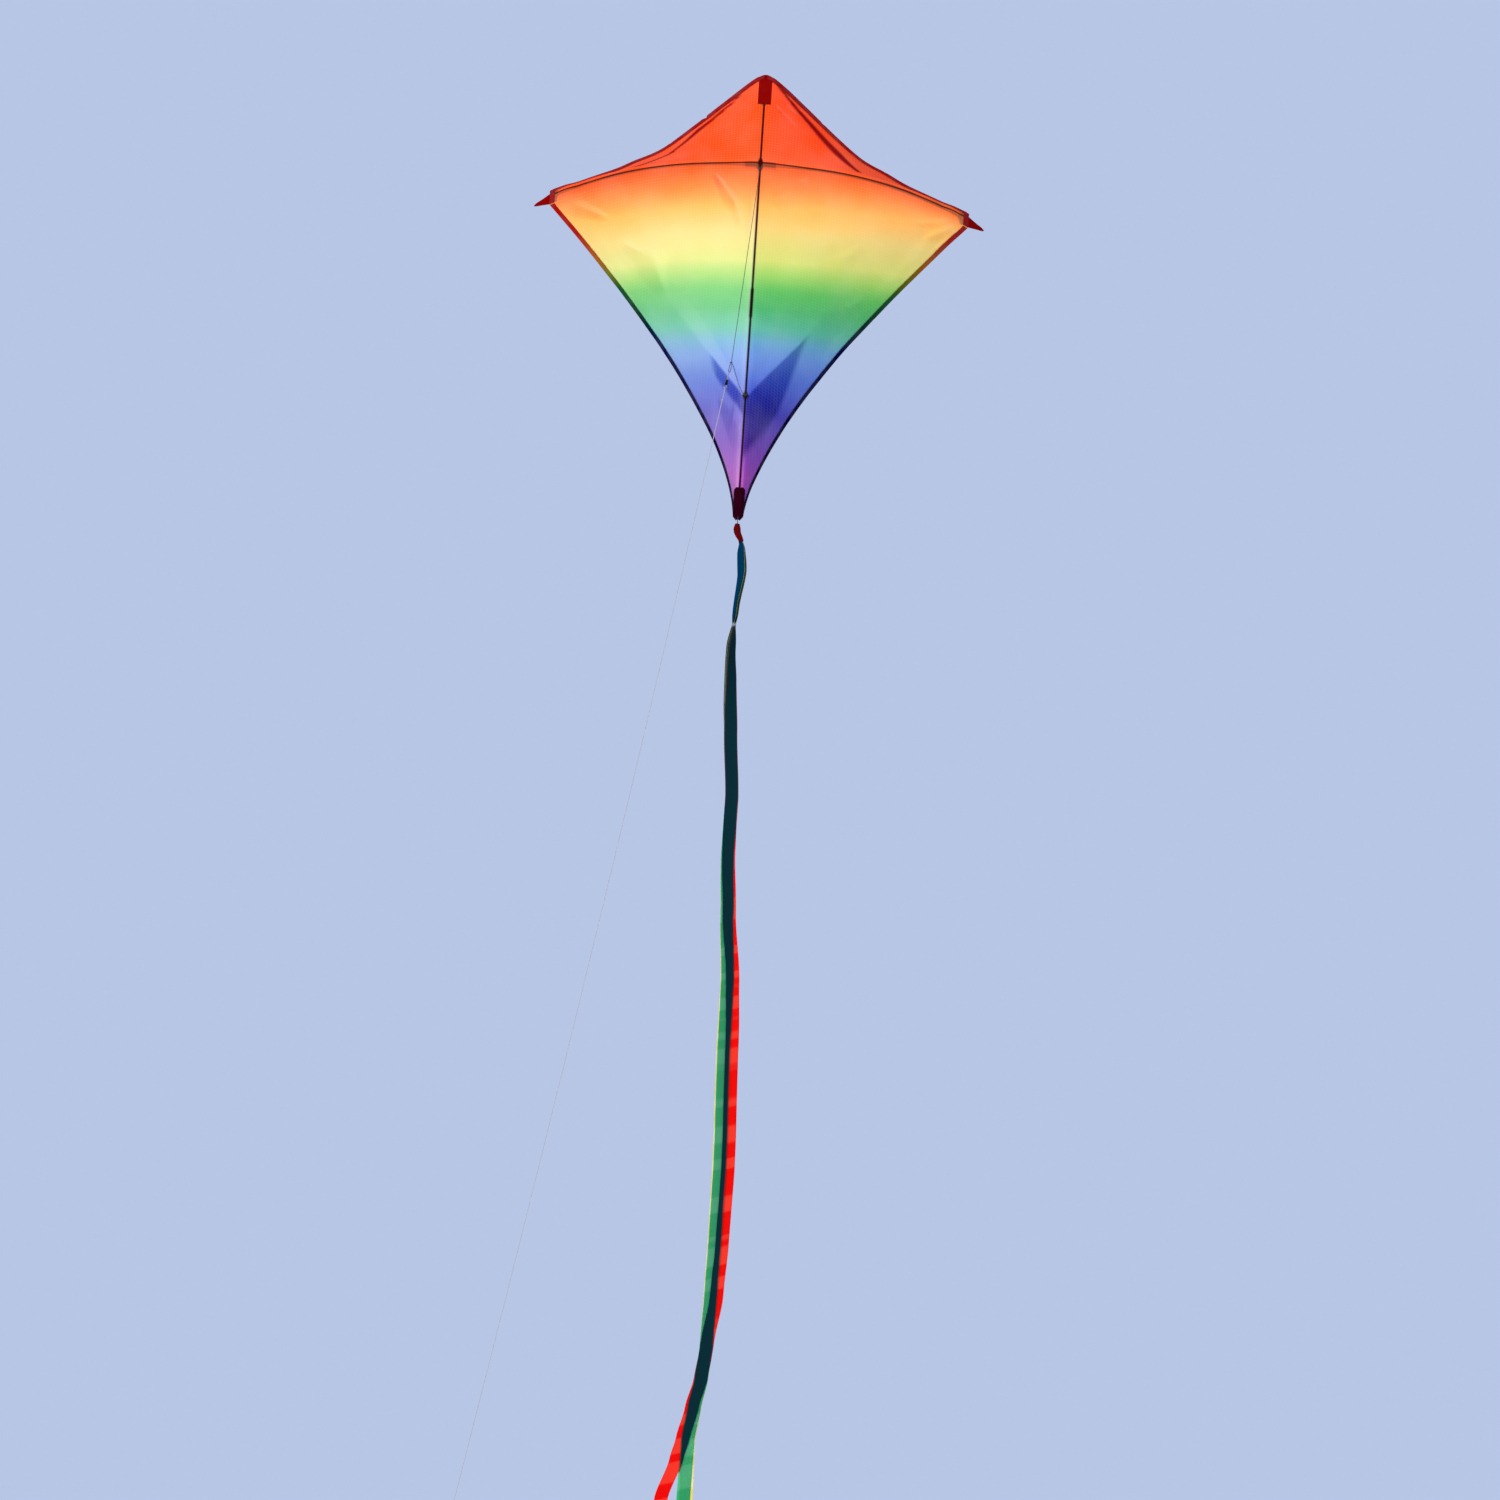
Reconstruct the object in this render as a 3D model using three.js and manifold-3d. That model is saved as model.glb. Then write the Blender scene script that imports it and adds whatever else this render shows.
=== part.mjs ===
// A rainbow diamond kite: cloth sail on a two-piece spine and a bowed cross spar, with its
// two-leg bridle, snap swivel, flying line and a four-ribbon tail.
// Millimetres. +Z runs up the spine to the nose, +X to the kite's right wing seen from the
// bridle side, +Y away from the flyer. The origin is the middle of the flat back face of the
// centre cross fitting. The spine hangs upright, the tail hangs straight down.
import * as THREE from 'three';
import { mergeVertices } from 'three/addons/utils/BufferGeometryUtils.js';
import Module from 'manifold-3d';

const wasm = await Module();
wasm.setup();

// ---- driving dimensions -------------------------------------------------------------
const GAP = 0.3;                    // clearance between pieces that touch
const CLOTH = 0.8;                  // sail cloth solid
const TAPE = 0.6;                   // hem, pocket and ribbon solid
const ROD_R = 2;                    // 4 mm spars

const SPINE_Y = -11.5;              // axis of the spine
const SPINE_TOP = 166;
const SPINE_BOTTOM = -673;
const SPINE_JOIN = -270;            // where the two spine rods meet in their ferrule
const SPINE_FERRULE_LENGTH = 56;

const SPAR_Y = -5.2;                // axis of the cross spar at the fitting
const SPAR_REACH = 369;             // half span of the bowed spar
const SPAR_STRAIGHT = 28;           // half length that the ferrule keeps straight
const SPAR_BOW = 165;               // how far the tips bow back
const SPAR_CURVE = 2.2;             // how late the bow gathers
const SPAR_FERRULE_LENGTH = 55;

const SAIL_Y = -16.5;               // sail cloth where it lies over the spine
const NOSE_HEIGHT = 172;
const SAIL_TIP = -686;              // lowest point of the sail
const CORNER = 352;                 // spar parameter where the sail's corner sits
const LEADING_RUN = 415;            // spar arc at which the leading edge would reach the spar
const BLOW_BACK = 66 * Math.PI / 180; // lean of the upper cloth at the wings
const HEM_WIDTH = 6.5;

const BRIDLE_Y = -20;               // the bridle's two tie knots lie on this vertical axis
const UPPER_TIE = -11.5;            // height of the upper tie, just under the fitting
const LOWER_TIE = -450;
const BRIDLE_KNOT = new THREE.Vector3(-26, -95, -431);
const LINE_PITCH = -6.185 * Math.PI / 180; // flying line's forward lean
const LINE_ROLL = 8.15 * Math.PI / 180;    // and its lean to the left wing
const BRIDLE_CORD_R = 0.5;
const LINE_R = 0.6;

const TAIL_PIVOT = new THREE.Vector3(0, -15.6, -684.5);
const TAIL_LINK_R = 3;              // bend radius of the tail's link of cord
const TAIL_LINK_DROP = 9;           // straight sides of the link
const RIBBON_WIDTH = 22;
const RIBBON_PITCH = 1.8;           // spacing of the four ribbons in their bundle

// ---- small helpers --------------------------------------------------------------------
const group = new THREE.Group();
const lerp = THREE.MathUtils.lerp;
const smooth = THREE.MathUtils.smoothstep;
const v3 = (x, y, z) => new THREE.Vector3(x, y, z);

function finish(colour, roughness, metalness = 0) {
  return new THREE.MeshStandardMaterial({ color: colour, roughness, metalness });
}

function addMesh(name, geometry, material, parent = group) {
  const mesh = new THREE.Mesh(geometry, material);
  mesh.name = name;
  parent.add(mesh);
  return mesh;
}

function bare(geometry) {
  const copy = geometry.index ? geometry.clone() : geometry;
  copy.deleteAttribute('normal');
  copy.deleteAttribute('uv');
  return mergeVertices(copy, 1e-4);
}

function toSolid(geometry) {
  const merged = bare(geometry);
  return new wasm.Manifold(new wasm.Mesh({
    numProp: 3,
    vertProperties: new Float32Array(merged.attributes.position.array),
    triVerts: new Uint32Array(merged.index.array),
  }));
}

function fromSolid(solid) {
  const mesh = solid.getMesh();
  const geometry = new THREE.BufferGeometry();
  geometry.setAttribute('position', new THREE.BufferAttribute(mesh.vertProperties, 3));
  geometry.setIndex(new THREE.BufferAttribute(mesh.triVerts, 1));
  return geometry;
}

function joined(...geometries) {
  return fromSolid(geometries.map(toSolid).reduce((whole, piece) => whole.add(piece)));
}

function cut(geometry, ...tools) {
  return fromSolid(tools.map(toSolid).reduce((whole, tool) => whole.subtract(tool),
    toSolid(geometry)));
}

// Closed thin solid around a grid of points in rows of equal length. turnedAt picks the
// columns whose squares are split along the other diagonal, so both wings fold alike.
function sheetSolid(rows, thickness, turnedAt = () => false) {
  const height = rows.length;
  const width = rows[0].length;
  const positions = [];
  const at = (i, j, side) => side * height * width + i * width + j;
  const normals = rows.map((row, i) => row.map((_, j) => {
    const down = rows[Math.min(i + 1, height - 1)][j].clone().sub(rows[Math.max(i - 1, 0)][j]);
    const across = row[Math.min(j + 1, width - 1)].clone().sub(row[Math.max(j - 1, 0)]);
    return across.cross(down).normalize();
  }));
  for (const side of [-0.5, 0.5]) {
    rows.forEach((row, i) => row.forEach((point, j) => {
      positions.push(...point.clone().addScaledVector(normals[i][j], side * thickness).toArray());
    }));
  }
  const faces = [];
  const quad = (a, b, c, d) => faces.push(a, b, c, a, c, d);
  const turnedQuad = (a, b, c, d) => faces.push(a, b, d, b, c, d);
  for (let i = 0; i < height - 1; i += 1) {
    for (let j = 0; j < width - 1; j += 1) {
      const face = turnedAt(j) ? turnedQuad : quad;
      face(at(i, j, 0), at(i + 1, j, 0), at(i + 1, j + 1, 0), at(i, j + 1, 0));
      face(at(i, j, 1), at(i, j + 1, 1), at(i + 1, j + 1, 1), at(i + 1, j, 1));
    }
    quad(at(i, 0, 0), at(i, 0, 1), at(i + 1, 0, 1), at(i + 1, 0, 0));
    quad(at(i, width - 1, 0), at(i + 1, width - 1, 0), at(i + 1, width - 1, 1), at(i, width - 1, 1));
  }
  for (let j = 0; j < width - 1; j += 1) {
    quad(at(0, j, 0), at(0, j + 1, 0), at(0, j + 1, 1), at(0, j, 1));
    quad(at(height - 1, j, 0), at(height - 1, j, 1), at(height - 1, j + 1, 1), at(height - 1, j + 1, 0));
  }
  const geometry = new THREE.BufferGeometry();
  geometry.setAttribute('position', new THREE.Float32BufferAttribute(positions, 3));
  geometry.setIndex(faces);
  return geometry;
}

function roundSection(radius, sides) {
  const corners = Array.from({ length: sides }, (_, i) => {
    const angle = 2 * Math.PI * i / sides;
    return new THREE.Vector2(radius * Math.cos(angle), radius * Math.sin(angle));
  });
  return new THREE.Shape(corners);
}

// Round bar or cord along an open route.
function tube(points, radius, steps, sides = 8) {
  const path = points.length > 2 ? new THREE.CatmullRomCurve3(points, false, 'centripetal')
    : new THREE.LineCurve3(points[0], points[1]);
  return new THREE.ExtrudeGeometry(roundSection(radius, sides), { steps, extrudePath: path });
}

// Endless loop of cord or wire along a flat closed route that turns about `side`.
function loopTube(route, side, radius, sides = 8) {
  const positions = [];
  const faces = [];
  const count = route.length;
  route.forEach((point, i) => {
    const ahead = route[(i + 1) % count].clone().sub(route[(i - 1 + count) % count]).normalize();
    const out = side.clone().cross(ahead).normalize();
    for (let k = 0; k < sides; k += 1) {
      const angle = 2 * Math.PI * k / sides;
      positions.push(...point.clone().addScaledVector(side, radius * Math.cos(angle))
        .addScaledVector(out, radius * Math.sin(angle)).toArray());
      const a = i * sides + k;
      const b = i * sides + (k + 1) % sides;
      const c = ((i + 1) % count) * sides + (k + 1) % sides;
      const d = ((i + 1) % count) * sides + k;
      faces.push(a, c, b, a, d, c);
    }
  });
  const geometry = new THREE.BufferGeometry();
  geometry.setAttribute('position', new THREE.Float32BufferAttribute(positions, 3));
  geometry.setIndex(faces);
  return geometry;
}

// Long loop: two straight sides down along Z, joined by half circles that open across.
function link(across, centreTop, length, bendRadius, radius, arcSteps = 6) {
  const route = [];
  for (let end = 0; end < 2; end += 1) {
    for (let i = 0; i <= arcSteps; i += 1) {
      const angle = Math.PI * (end + i / arcSteps);
      const drop = end === 0 ? 0 : -length;
      route.push(centreTop.clone().addScaledVector(across, bendRadius * Math.cos(angle))
        .add(v3(0, 0, bendRadius * Math.sin(angle) + drop)));
    }
  }
  return loopTube(route, v3(across.y, -across.x, 0), radius);
}

function lathe(profile, segments = 16) {
  const points = profile.map(([radius, height]) => new THREE.Vector2(radius, height));
  return new THREE.LatheGeometry(points, segments);
}

// Upright cylinder along Z.
function post(radius, low, high, x = 0, y = 0, segments = 16) {
  return new THREE.CylinderGeometry(radius, radius, high - low, segments)
    .rotateX(Math.PI / 2).translate(x, y, (low + high) / 2);
}

function ball(radius, centre, segments = 10) {
  return new THREE.SphereGeometry(radius, segments, Math.round(segments * 0.67))
    .translate(centre.x, centre.y, centre.z);
}

// Straight sleeve: a bored tube on the Z axis.
function sleeve(outer, bore, length, segments = 20) {
  const half = length / 2;
  return lathe([[bore, -half], [outer, -half], [outer, half], [bore, half], [bore, -half]],
    segments).rotateX(Math.PI / 2);
}

// Cap for a rod's end: closed at +Z, bored from below, its mouth at z = 0.
function capShape(outer, length, bore) {
  const floor = length - 1.2;
  return lathe([[0, floor], [bore, floor], [bore, 0], [outer, 0], [outer, length - 0.7],
    [outer - 0.7, length], [0, length]], 14).rotateX(Math.PI / 2);
}

// ---- the bowed cross spar and the sail's surface ------------------------------------------
function sparPoint(q) {
  const run = Math.max(0, q - SPAR_STRAIGHT) / (SPAR_REACH - SPAR_STRAIGHT);
  return v3(q, SPAR_Y + SPAR_BOW * run ** SPAR_CURVE, 0);
}

function sparAngle(q) {
  const near = sparPoint(q - 0.5);
  const far = sparPoint(q + 0.5);
  return Math.atan2(far.y - near.y, 1);
}

function sparArc(q) {
  const pieces = 24;
  let arc = 0;
  for (let i = 0; i < pieces; i += 1) {
    arc += sparPoint(q * i / pieces).distanceTo(sparPoint(q * (i + 1) / pieces));
  }
  return arc;
}

// Where the cloth passes in front of the spar: clear of the fitting in the middle, close to
// the rod along the wing and clear of the wing-tip pocket at the corner.
function spanPoint(q) {
  const overFitting = (SPAR_Y - SAIL_Y - 3.4) * Math.exp(-((q / 50) ** 2));
  const overPocket = 3.1 * smooth(q, 305, 326);
  const offset = 3.4 + overFitting + overPocket;
  const angle = sparAngle(q);
  return sparPoint(q).add(v3(offset * Math.sin(angle), -offset * Math.cos(angle), 0));
}

function leadingHeight(q) {
  return NOSE_HEIGHT * (1 - sparArc(q) / LEADING_RUN);
}

// Upper cloth, h measured up from the spar: it rises past the spar, then leans back.
function upperPoint(q, h) {
  const rise = 7 * smooth(q, 20, 80);
  const wing = THREE.MathUtils.clamp((q - 12) / 288, 0, 1);
  const lean = BLOW_BACK * Math.sin(Math.PI / 2 * wing) ** 1.2;
  const beyond = Math.max(0, h - rise);
  const up = Math.min(h, rise);
  return spanPoint(q).add(v3(0, beyond * Math.sin(lean), up + beyond * Math.cos(lean)));
}

const CORNER_POINT = spanPoint(CORNER);
const LOWER_TOP = -16;              // height where the trailing edge leaves the corner

function trailingHalfWidth(s) {
  const hollowCurve = 8 + (CORNER_POINT.x - 8) * (1 - s) ** 1.65;
  return Math.min(hollowCurve, 3 + 400 * (1 - s));
}

// How far the flat strip over the spine reaches to each side.
const FLAT = 5.5;

function flatHalfWidth(s) {
  return Math.min(FLAT, 0.6 * trailingHalfWidth(s));
}

// Lower cloth, x measured out from the spine, s from the spar (0) to the tip (1). It hangs
// like the bowed spar at the top and nearly straight at the tip.
function lowerAt(x, s) {
  const flat = flatHalfWidth(s);
  const out = THREE.MathUtils.clamp((x - flat) / (trailingHalfWidth(s) - flat), 0, 1);
  const edgeY = lerp(-14, CORNER_POINT.y, 1 - s ** 2.1);
  const bowed = (spanPoint(lerp(FLAT, CORNER, out)).y - SAIL_Y) / (CORNER_POINT.y - SAIL_Y);
  const shape = lerp(bowed, out ** 1.3, s);
  return v3(x, SAIL_Y + (edgeY - SAIL_Y) * shape, lerp(LOWER_TOP, SAIL_TIP, s));
}

// The same cloth followed down from the spar parameter q.
function lowerPoint(q, s) {
  const flat = flatHalfWidth(s);
  const x = q < FLAT ? q * flat / FLAT
    : lerp(flat, trailingHalfWidth(s), (q - FLAT) / (CORNER - FLAT));
  return lowerAt(x, s);
}

const mirror = (point) => v3(-point.x, point.y, point.z);

// A row given for the right half becomes a whole row, left wing first.
function wholeRow(rightHalf) {
  return [...rightHalf.slice(1).reverse().map(mirror), ...rightHalf];
}

// The cloth is ruled finer towards its edges and the tip.
const NOSE_FLAT = 12;               // the pocket at the nose lies flat this far out
const SAIL_COLUMNS = [0, FLAT, NOSE_FLAT,
  ...Array.from({ length: 12 }, (_, i) => lerp(NOSE_FLAT, CORNER, 1 - (1 - (i + 1) / 12) ** 1.25))];
const SAIL_ROWS = Array.from({ length: 18 }, (_, i) => 1 - (1 - i / 17) ** 1.15);

function sail() {
  const upper = [1, 0.8, 0.6, 0.4, 0.2].map((t) => SAIL_COLUMNS
    .map((q) => upperPoint(q, t * leadingHeight(q))));
  const spanRow = SAIL_COLUMNS.map(spanPoint);
  const lower = SAIL_ROWS.map((s) => SAIL_COLUMNS.map((q) => lowerPoint(q, s)));
  const rows = [...upper, spanRow, ...lower].map(wholeRow);
  const cloth = sheetSolid(rows, CLOTH, (j) => j < SAIL_COLUMNS.length - 1);
  const tieHole = (z) => new THREE.CylinderGeometry(2.2, 2.2, 6, 12).translate(0, SAIL_Y, z);
  const tailHole = new THREE.CylinderGeometry(1.3, 1.3, 6, 12).translate(0, SAIL_Y, -681.5);
  return cut(cloth, tieHole(UPPER_TIE), tieHole(LOWER_TIE), tailHole);
}

// Folded hem behind the cloth: an offset copy of a band of the surface.
function bandBehind(surface, alongs, acrosses, distance) {
  return alongs.map((a) => acrosses.map((b) => {
    const step = 0.01;
    const point = surface(a, b);
    const along = surface(a + step, b).sub(surface(a - step, b));
    const across = surface(a, b + step).sub(surface(a, b - step));
    const normal = along.cross(across).normalize();
    if (normal.y < 0) {
      normal.negate();
    }
    return point.addScaledVector(normal, distance);
  }));
}

const HEM_GAP = 0.45;
const HEM_BEHIND = CLOTH / 2 + HEM_GAP + TAPE / 2;

function leadingHem() {
  const alongs = [3, ...SAIL_COLUMNS.slice(1, -1)];
  return bandBehind((q, b) => upperPoint(q, leadingHeight(q) - b), alongs,
    [0.2, HEM_WIDTH / 2, HEM_WIDTH], HEM_BEHIND);
}

function trailingHem() {
  const alongs = [0.01, ...SAIL_ROWS.slice(1, -1)];
  const surface = (s, share) => {
    const half = trailingHalfWidth(s);
    return lowerAt(half - share * Math.min(1.3 * HEM_WIDTH, half - 5.9), s);
  };
  return bandBehind(surface, alongs, [0.03, 0.5, 1], HEM_BEHIND);
}

function sidedSheet(rows, side, thickness) {
  return side > 0 ? sheetSolid(rows.map((row) => [...row].reverse()), thickness, () => true)
    : sheetSolid(rows.map((row) => row.map(mirror)), thickness);
}

// ---- pockets ---------------------------------------------------------------------------
const POCKET_BEHIND = 2.15;

// Patch behind the spine: flat beside it, bulged over the rod and its cap.
// outline lists [height, half width].
function spinePocket(outline, bulgeAt) {
  const acrosses = [-1, -0.72, -0.5, -0.33, -0.16, 0, 0.16, 0.33, 0.5, 0.72, 1];
  const rows = outline.map(([z, halfWidth]) => acrosses.map((share) => {
    const x = share * halfWidth;
    const bulge = 7.3 * bulgeAt(z) * Math.exp(-((x / 4.4) ** 4));
    return v3(x, SAIL_Y + POCKET_BEHIND + bulge, z);
  }));
  return sheetSolid(rows, TAPE);
}

function nosePocket() {
  const outline = [[171, 2], [168.5, 6.5], [164, 11.4], [140, 11.4], [115, 11.4]];
  return spinePocket(outline, (z) => 1 - smooth(z, 168.6, 171.6));
}

// The tail pocket fits in the flat strip between the two folds of the cloth.
function tailPocket() {
  const outline = [[-624, 4.7], [-640, 4.7], [-656, 4.7], [-668, 4.3], [-676, 4],
    [-680, 3], [-683, 2.3], [-686, 1.5]];
  const pocket = spinePocket(outline, (z) => smooth(z, -680, -676));
  const tailHole = new THREE.CylinderGeometry(1.3, 1.3, 8, 12)
    .translate(0, SAIL_Y + POCKET_BEHIND, -681.5);
  return cut(pocket, tailHole);
}

// Pointed cloth sleeve over the spar's end, its mouth towards the middle of the kite.
function wingTipPocket() {
  const bore = 3.3;
  return lathe([[0, 46], [bore, 44.5], [bore, 0], [4.3, 0], [4.3, 38], [3.7, 47], [1.5, 59],
    [0, 61]], 12).rotateX(Math.PI / 2);
}

// ---- spars --------------------------------------------------------------------------
const fibre = finish('#23201f', 0.45);
const ferruleBlack = finish('#101011', 0.38);
const vinyl = finish('#17181a', 0.6);

addMesh('spine_upper', tube([v3(0, SPINE_Y, SPINE_JOIN + 0.5), v3(0, SPINE_Y, SPINE_TOP)],
  ROD_R, 1, 12), fibre);
addMesh('spine_lower', tube([v3(0, SPINE_Y, SPINE_BOTTOM), v3(0, SPINE_Y, SPINE_JOIN - 0.5)],
  ROD_R, 1, 12), fibre);
addMesh('spine_ferrule', sleeve(2.9, ROD_R + GAP, SPINE_FERRULE_LENGTH), ferruleBlack)
  .position.set(0, SPINE_Y, SPINE_JOIN);

for (const [side, label] of [[-1, 'left'], [1, 'right']]) {
  const route = Array.from({ length: 14 }, (_, i) => {
    const point = sparPoint(lerp(0.5, SPAR_REACH, (i / 13) ** 0.9));
    return side > 0 ? point : mirror(point);
  });
  addMesh(`cross_spar_${label}`, tube(route, ROD_R, 24, 8), fibre);
}
addMesh('cross_spar_ferrule', sleeve(2.75, ROD_R + GAP, SPAR_FERRULE_LENGTH)
  .rotateY(Math.PI / 2), ferruleBlack).position.set(0, SPAR_Y, 0);

const CAP_LENGTH = 9;
const CAP_GRIP = CAP_LENGTH - 1.2 - GAP;
addMesh('spine_top_cap', capShape(2.9, CAP_LENGTH, ROD_R + GAP), vinyl)
  .position.set(0, SPINE_Y, SPINE_TOP - CAP_GRIP);
const bottomCap = addMesh('spine_bottom_cap', capShape(2.9, CAP_LENGTH, ROD_R + GAP), vinyl);
bottomCap.position.set(0, SPINE_Y, SPINE_BOTTOM + CAP_GRIP);
bottomCap.rotation.x = Math.PI;

// Turns a piece made along +Z to run outwards over the spar's end, its mouth at parameter q.
function overSparEnd(mesh, side, q) {
  const mouth = sparPoint(q);
  const outward = sparPoint(SPAR_REACH).sub(mouth).normalize();
  mesh.quaternion.setFromUnitVectors(v3(0, 0, 1), v3(side * outward.x, outward.y, 0));
  mesh.position.set(side * mouth.x, mouth.y, 0);
}

const tipAngle = sparAngle(SPAR_REACH - 0.6);
const tipOut = (side) => v3(side * Math.cos(tipAngle), Math.sin(tipAngle), 0);
const capMouth = sparPoint(SPAR_REACH).addScaledVector(tipOut(1), -CAP_GRIP);
for (const [side, label] of [[-1, 'left'], [1, 'right']]) {
  const cap = addMesh(`spar_cap_${label}`, capShape(2.9, CAP_LENGTH, ROD_R + GAP), vinyl);
  cap.quaternion.setFromUnitVectors(v3(0, 0, 1), tipOut(side));
  cap.position.set(side * capMouth.x, capMouth.y, 0);
}

// ---- centre fitting -----------------------------------------------------------------
// Soft fitting: an upright collar on the spine, a short cross sleeve behind it and a flat pad
// on its back.
function crossFitting() {
  const collar = post(4, -9, 9, 0, SPINE_Y, 20);
  const crossSleeve = post(4.4, -6, 6, 0, 0, 20).rotateY(Math.PI / 2).translate(0, SPAR_Y, 0);
  const web = new THREE.BoxGeometry(7, 9, 12).translate(0, -9, 0);
  const pad = new THREE.BoxGeometry(8, 4, 10).translate(0, -2, 0);
  const spineBore = post(ROD_R + GAP, -20, 20, 0, SPINE_Y, 20);
  const sparBore = post(2.75 + GAP, -20, 20, 0, 0, 20).rotateY(Math.PI / 2)
    .translate(0, SPAR_Y, 0);
  return cut(joined(collar, crossSleeve, web, pad), spineBore, sparBore);
}
addMesh('centre_cross_fitting', crossFitting(), vinyl);

// ---- sail, hems and pockets ---------------------------------------------------------------
addMesh('sail', sail(), finish('#f2c35a', 0.7));
for (const [side, label] of [[-1, 'left'], [1, 'right']]) {
  addMesh(`leading_hem_${label}`, sidedSheet(leadingHem(), side, TAPE),
    finish('#a41410', 0.75));
  addMesh(`trailing_hem_${label}`, sidedSheet(trailingHem(), side, TAPE),
    finish('#1d4a2c', 0.75));
  const pocket = addMesh(`wing_tip_pocket_${label}`, wingTipPocket(), finish('#8c0f14', 0.8));
  overSparEnd(pocket, side, 340);
}
addMesh('nose_pocket', nosePocket(), finish('#8c0f14', 0.8));
addMesh('tail_pocket', tailPocket(), finish('#3d1030', 0.8));

// ---- bridle --------------------------------------------------------------------------------
const blackCord = finish('#1c1a1c', 0.8);
const paleCord = finish('#d9d4cf', 0.7);

// Cord hitched round the spine, led through the sail and knotted in front of it.
function spineTie(z) {
  const rightSide = [[0.65, -18.6], [1, -16.8], [2.4, -14.2], [2.95, -11.2], [1.9, -9]];
  const leftSide = rightSide.map(([x, y]) => [-x, y]).reverse();
  const corners = [...rightSide, [0, -8.45], ...leftSide].map(([x, y]) => v3(x, y, z));
  const route = new THREE.CatmullRomCurve3(corners, true).getPoints(20).slice(0, -1);
  return joined(loopTube(route, v3(0, 0, -1), BRIDLE_CORD_R, 6), ball(1.7, v3(0, BRIDLE_Y, z)));
}
addMesh('upper_bridle_tie', spineTie(UPPER_TIE), blackCord);
addMesh('lower_bridle_tie', spineTie(LOWER_TIE), blackCord);

// Rubber rings gripping the spine above and below the lower tie.
for (const [place, label] of [[2.6, 'upper'], [-2.6, 'lower']]) {
  const ring = new THREE.TorusGeometry(3.35, 1, 8, 18);
  addMesh(`stop_ring_${label}`, ring, vinyl).position.set(0, SPINE_Y, LOWER_TIE + place);
}

const upperTieKnot = v3(0, BRIDLE_Y, UPPER_TIE);
const lowerTieKnot = v3(0, BRIDLE_Y, LOWER_TIE);
const legDown = BRIDLE_KNOT.clone().sub(upperTieKnot).normalize();
addMesh('bridle_upper_leg', tube([upperTieKnot.clone().addScaledVector(legDown, 2.1),
  BRIDLE_KNOT.clone().addScaledVector(legDown, -2.6)], BRIDLE_CORD_R, 8), blackCord);

// The lower leg is slack: it hangs between the knot and the lower tie.
const LOWER_LEG = [
  [-24.2, -93.4, -431.9], [-22.6, -90.6, -434], [-20.9, -86.3, -437.1], [-19.2, -81.2, -440.3],
  [-17.5, -75.8, -443.3], [-15.8, -70.2, -446], [-14.1, -64.4, -448.4], [-12.4, -58.5, -450.4],
  [-10.7, -52.5, -452], [-8.9, -46.4, -453.1], [-7.1, -40.4, -453.7], [-5.3, -34.5, -453.6],
  [-3.6, -29.2, -452.8], [-2, -25, -451.6], [-0.8, -22, -450.5],
];
addMesh('bridle_lower_leg', tube(LOWER_LEG.map(([x, y, z]) => v3(x, y, z)), BRIDLE_CORD_R, 24),
  blackCord);
addMesh('bridle_knot', ball(2.2, BRIDLE_KNOT), blackCord);

// ---- snap swivel and flying line -----------------------------------------------------------
// All of it lies along -Z of this group, which starts at the bridle knot.
const lineGroup = new THREE.Group();
lineGroup.position.copy(BRIDLE_KNOT);
lineGroup.rotation.set(LINE_PITCH, LINE_ROLL, 0);
group.add(lineGroup);

const alongX = v3(1, 0, 0);
const alongY = v3(0, 1, 0);
const steel = finish('#c9b9ae', 0.28, 0.9);
const blackMetal = finish('#141416', 0.35, 0.7);

addMesh('tow_loop', link(alongX, v3(0, 0, -4.6), 13.8, 1.6, BRIDLE_CORD_R), blackCord, lineGroup);

const HOOK_CENTRE = -22;            // centre of the hook's round top, where it swings
const HOOK_R = 3.3;
const WIRE_R = 0.45;

function snapHook() {
  const bow = [[0.2, -34.6], [-1.6, -34], [-HOOK_R, -31.5], [-HOOK_R, -28], [-HOOK_R, -24.6]];
  for (let i = 1; i < 12; i += 1) {
    const angle = Math.PI * (1 - i / 12);
    bow.push([HOOK_R * Math.cos(angle), HOOK_CENTRE + HOOK_R * Math.sin(angle)]);
  }
  bow.push([HOOK_R, -22.6], [HOOK_R, -24]);
  const wire = tube(bow.map(([y, z]) => v3(0, y, z)), WIRE_R, 26, 6);
  const heel = tube([v3(0, 0, -34.6), v3(0, 2, -34), v3(0, HOOK_R, -32.7)], WIRE_R, 6, 6);
  const collar = post(1.3, -35.6, -34, 0, 0, 12);
  const stem = post(0.6, -39, -35, 0, 0, 12);
  const head = post(1.2, -40, -38.6, 0, 0, 12);
  return joined(wire, heel, collar, stem, head);
}
addMesh('snap_hook', snapHook(), steel, lineGroup);
addMesh('snap_gate', tube([v3(0, HOOK_R, -31.9), v3(0, HOOK_R, -24.4)], WIRE_R, 1), steel,
  lineGroup);

// Hollow barrel that traps the heads of both stems and lets them turn.
const barrelProfile = [[0.95, -37], [1.8, -36.4], [2.4, -38.4], [2.4, -44.8], [1.8, -46.8],
  [0.95, -46.2], [0.95, -45.4], [1.65, -45], [1.65, -38.2], [0.95, -37.8], [0.95, -37]];
addMesh('swivel_barrel', lathe(barrelProfile.reverse(), 16).rotateX(Math.PI / 2), blackMetal,
  lineGroup);

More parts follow.
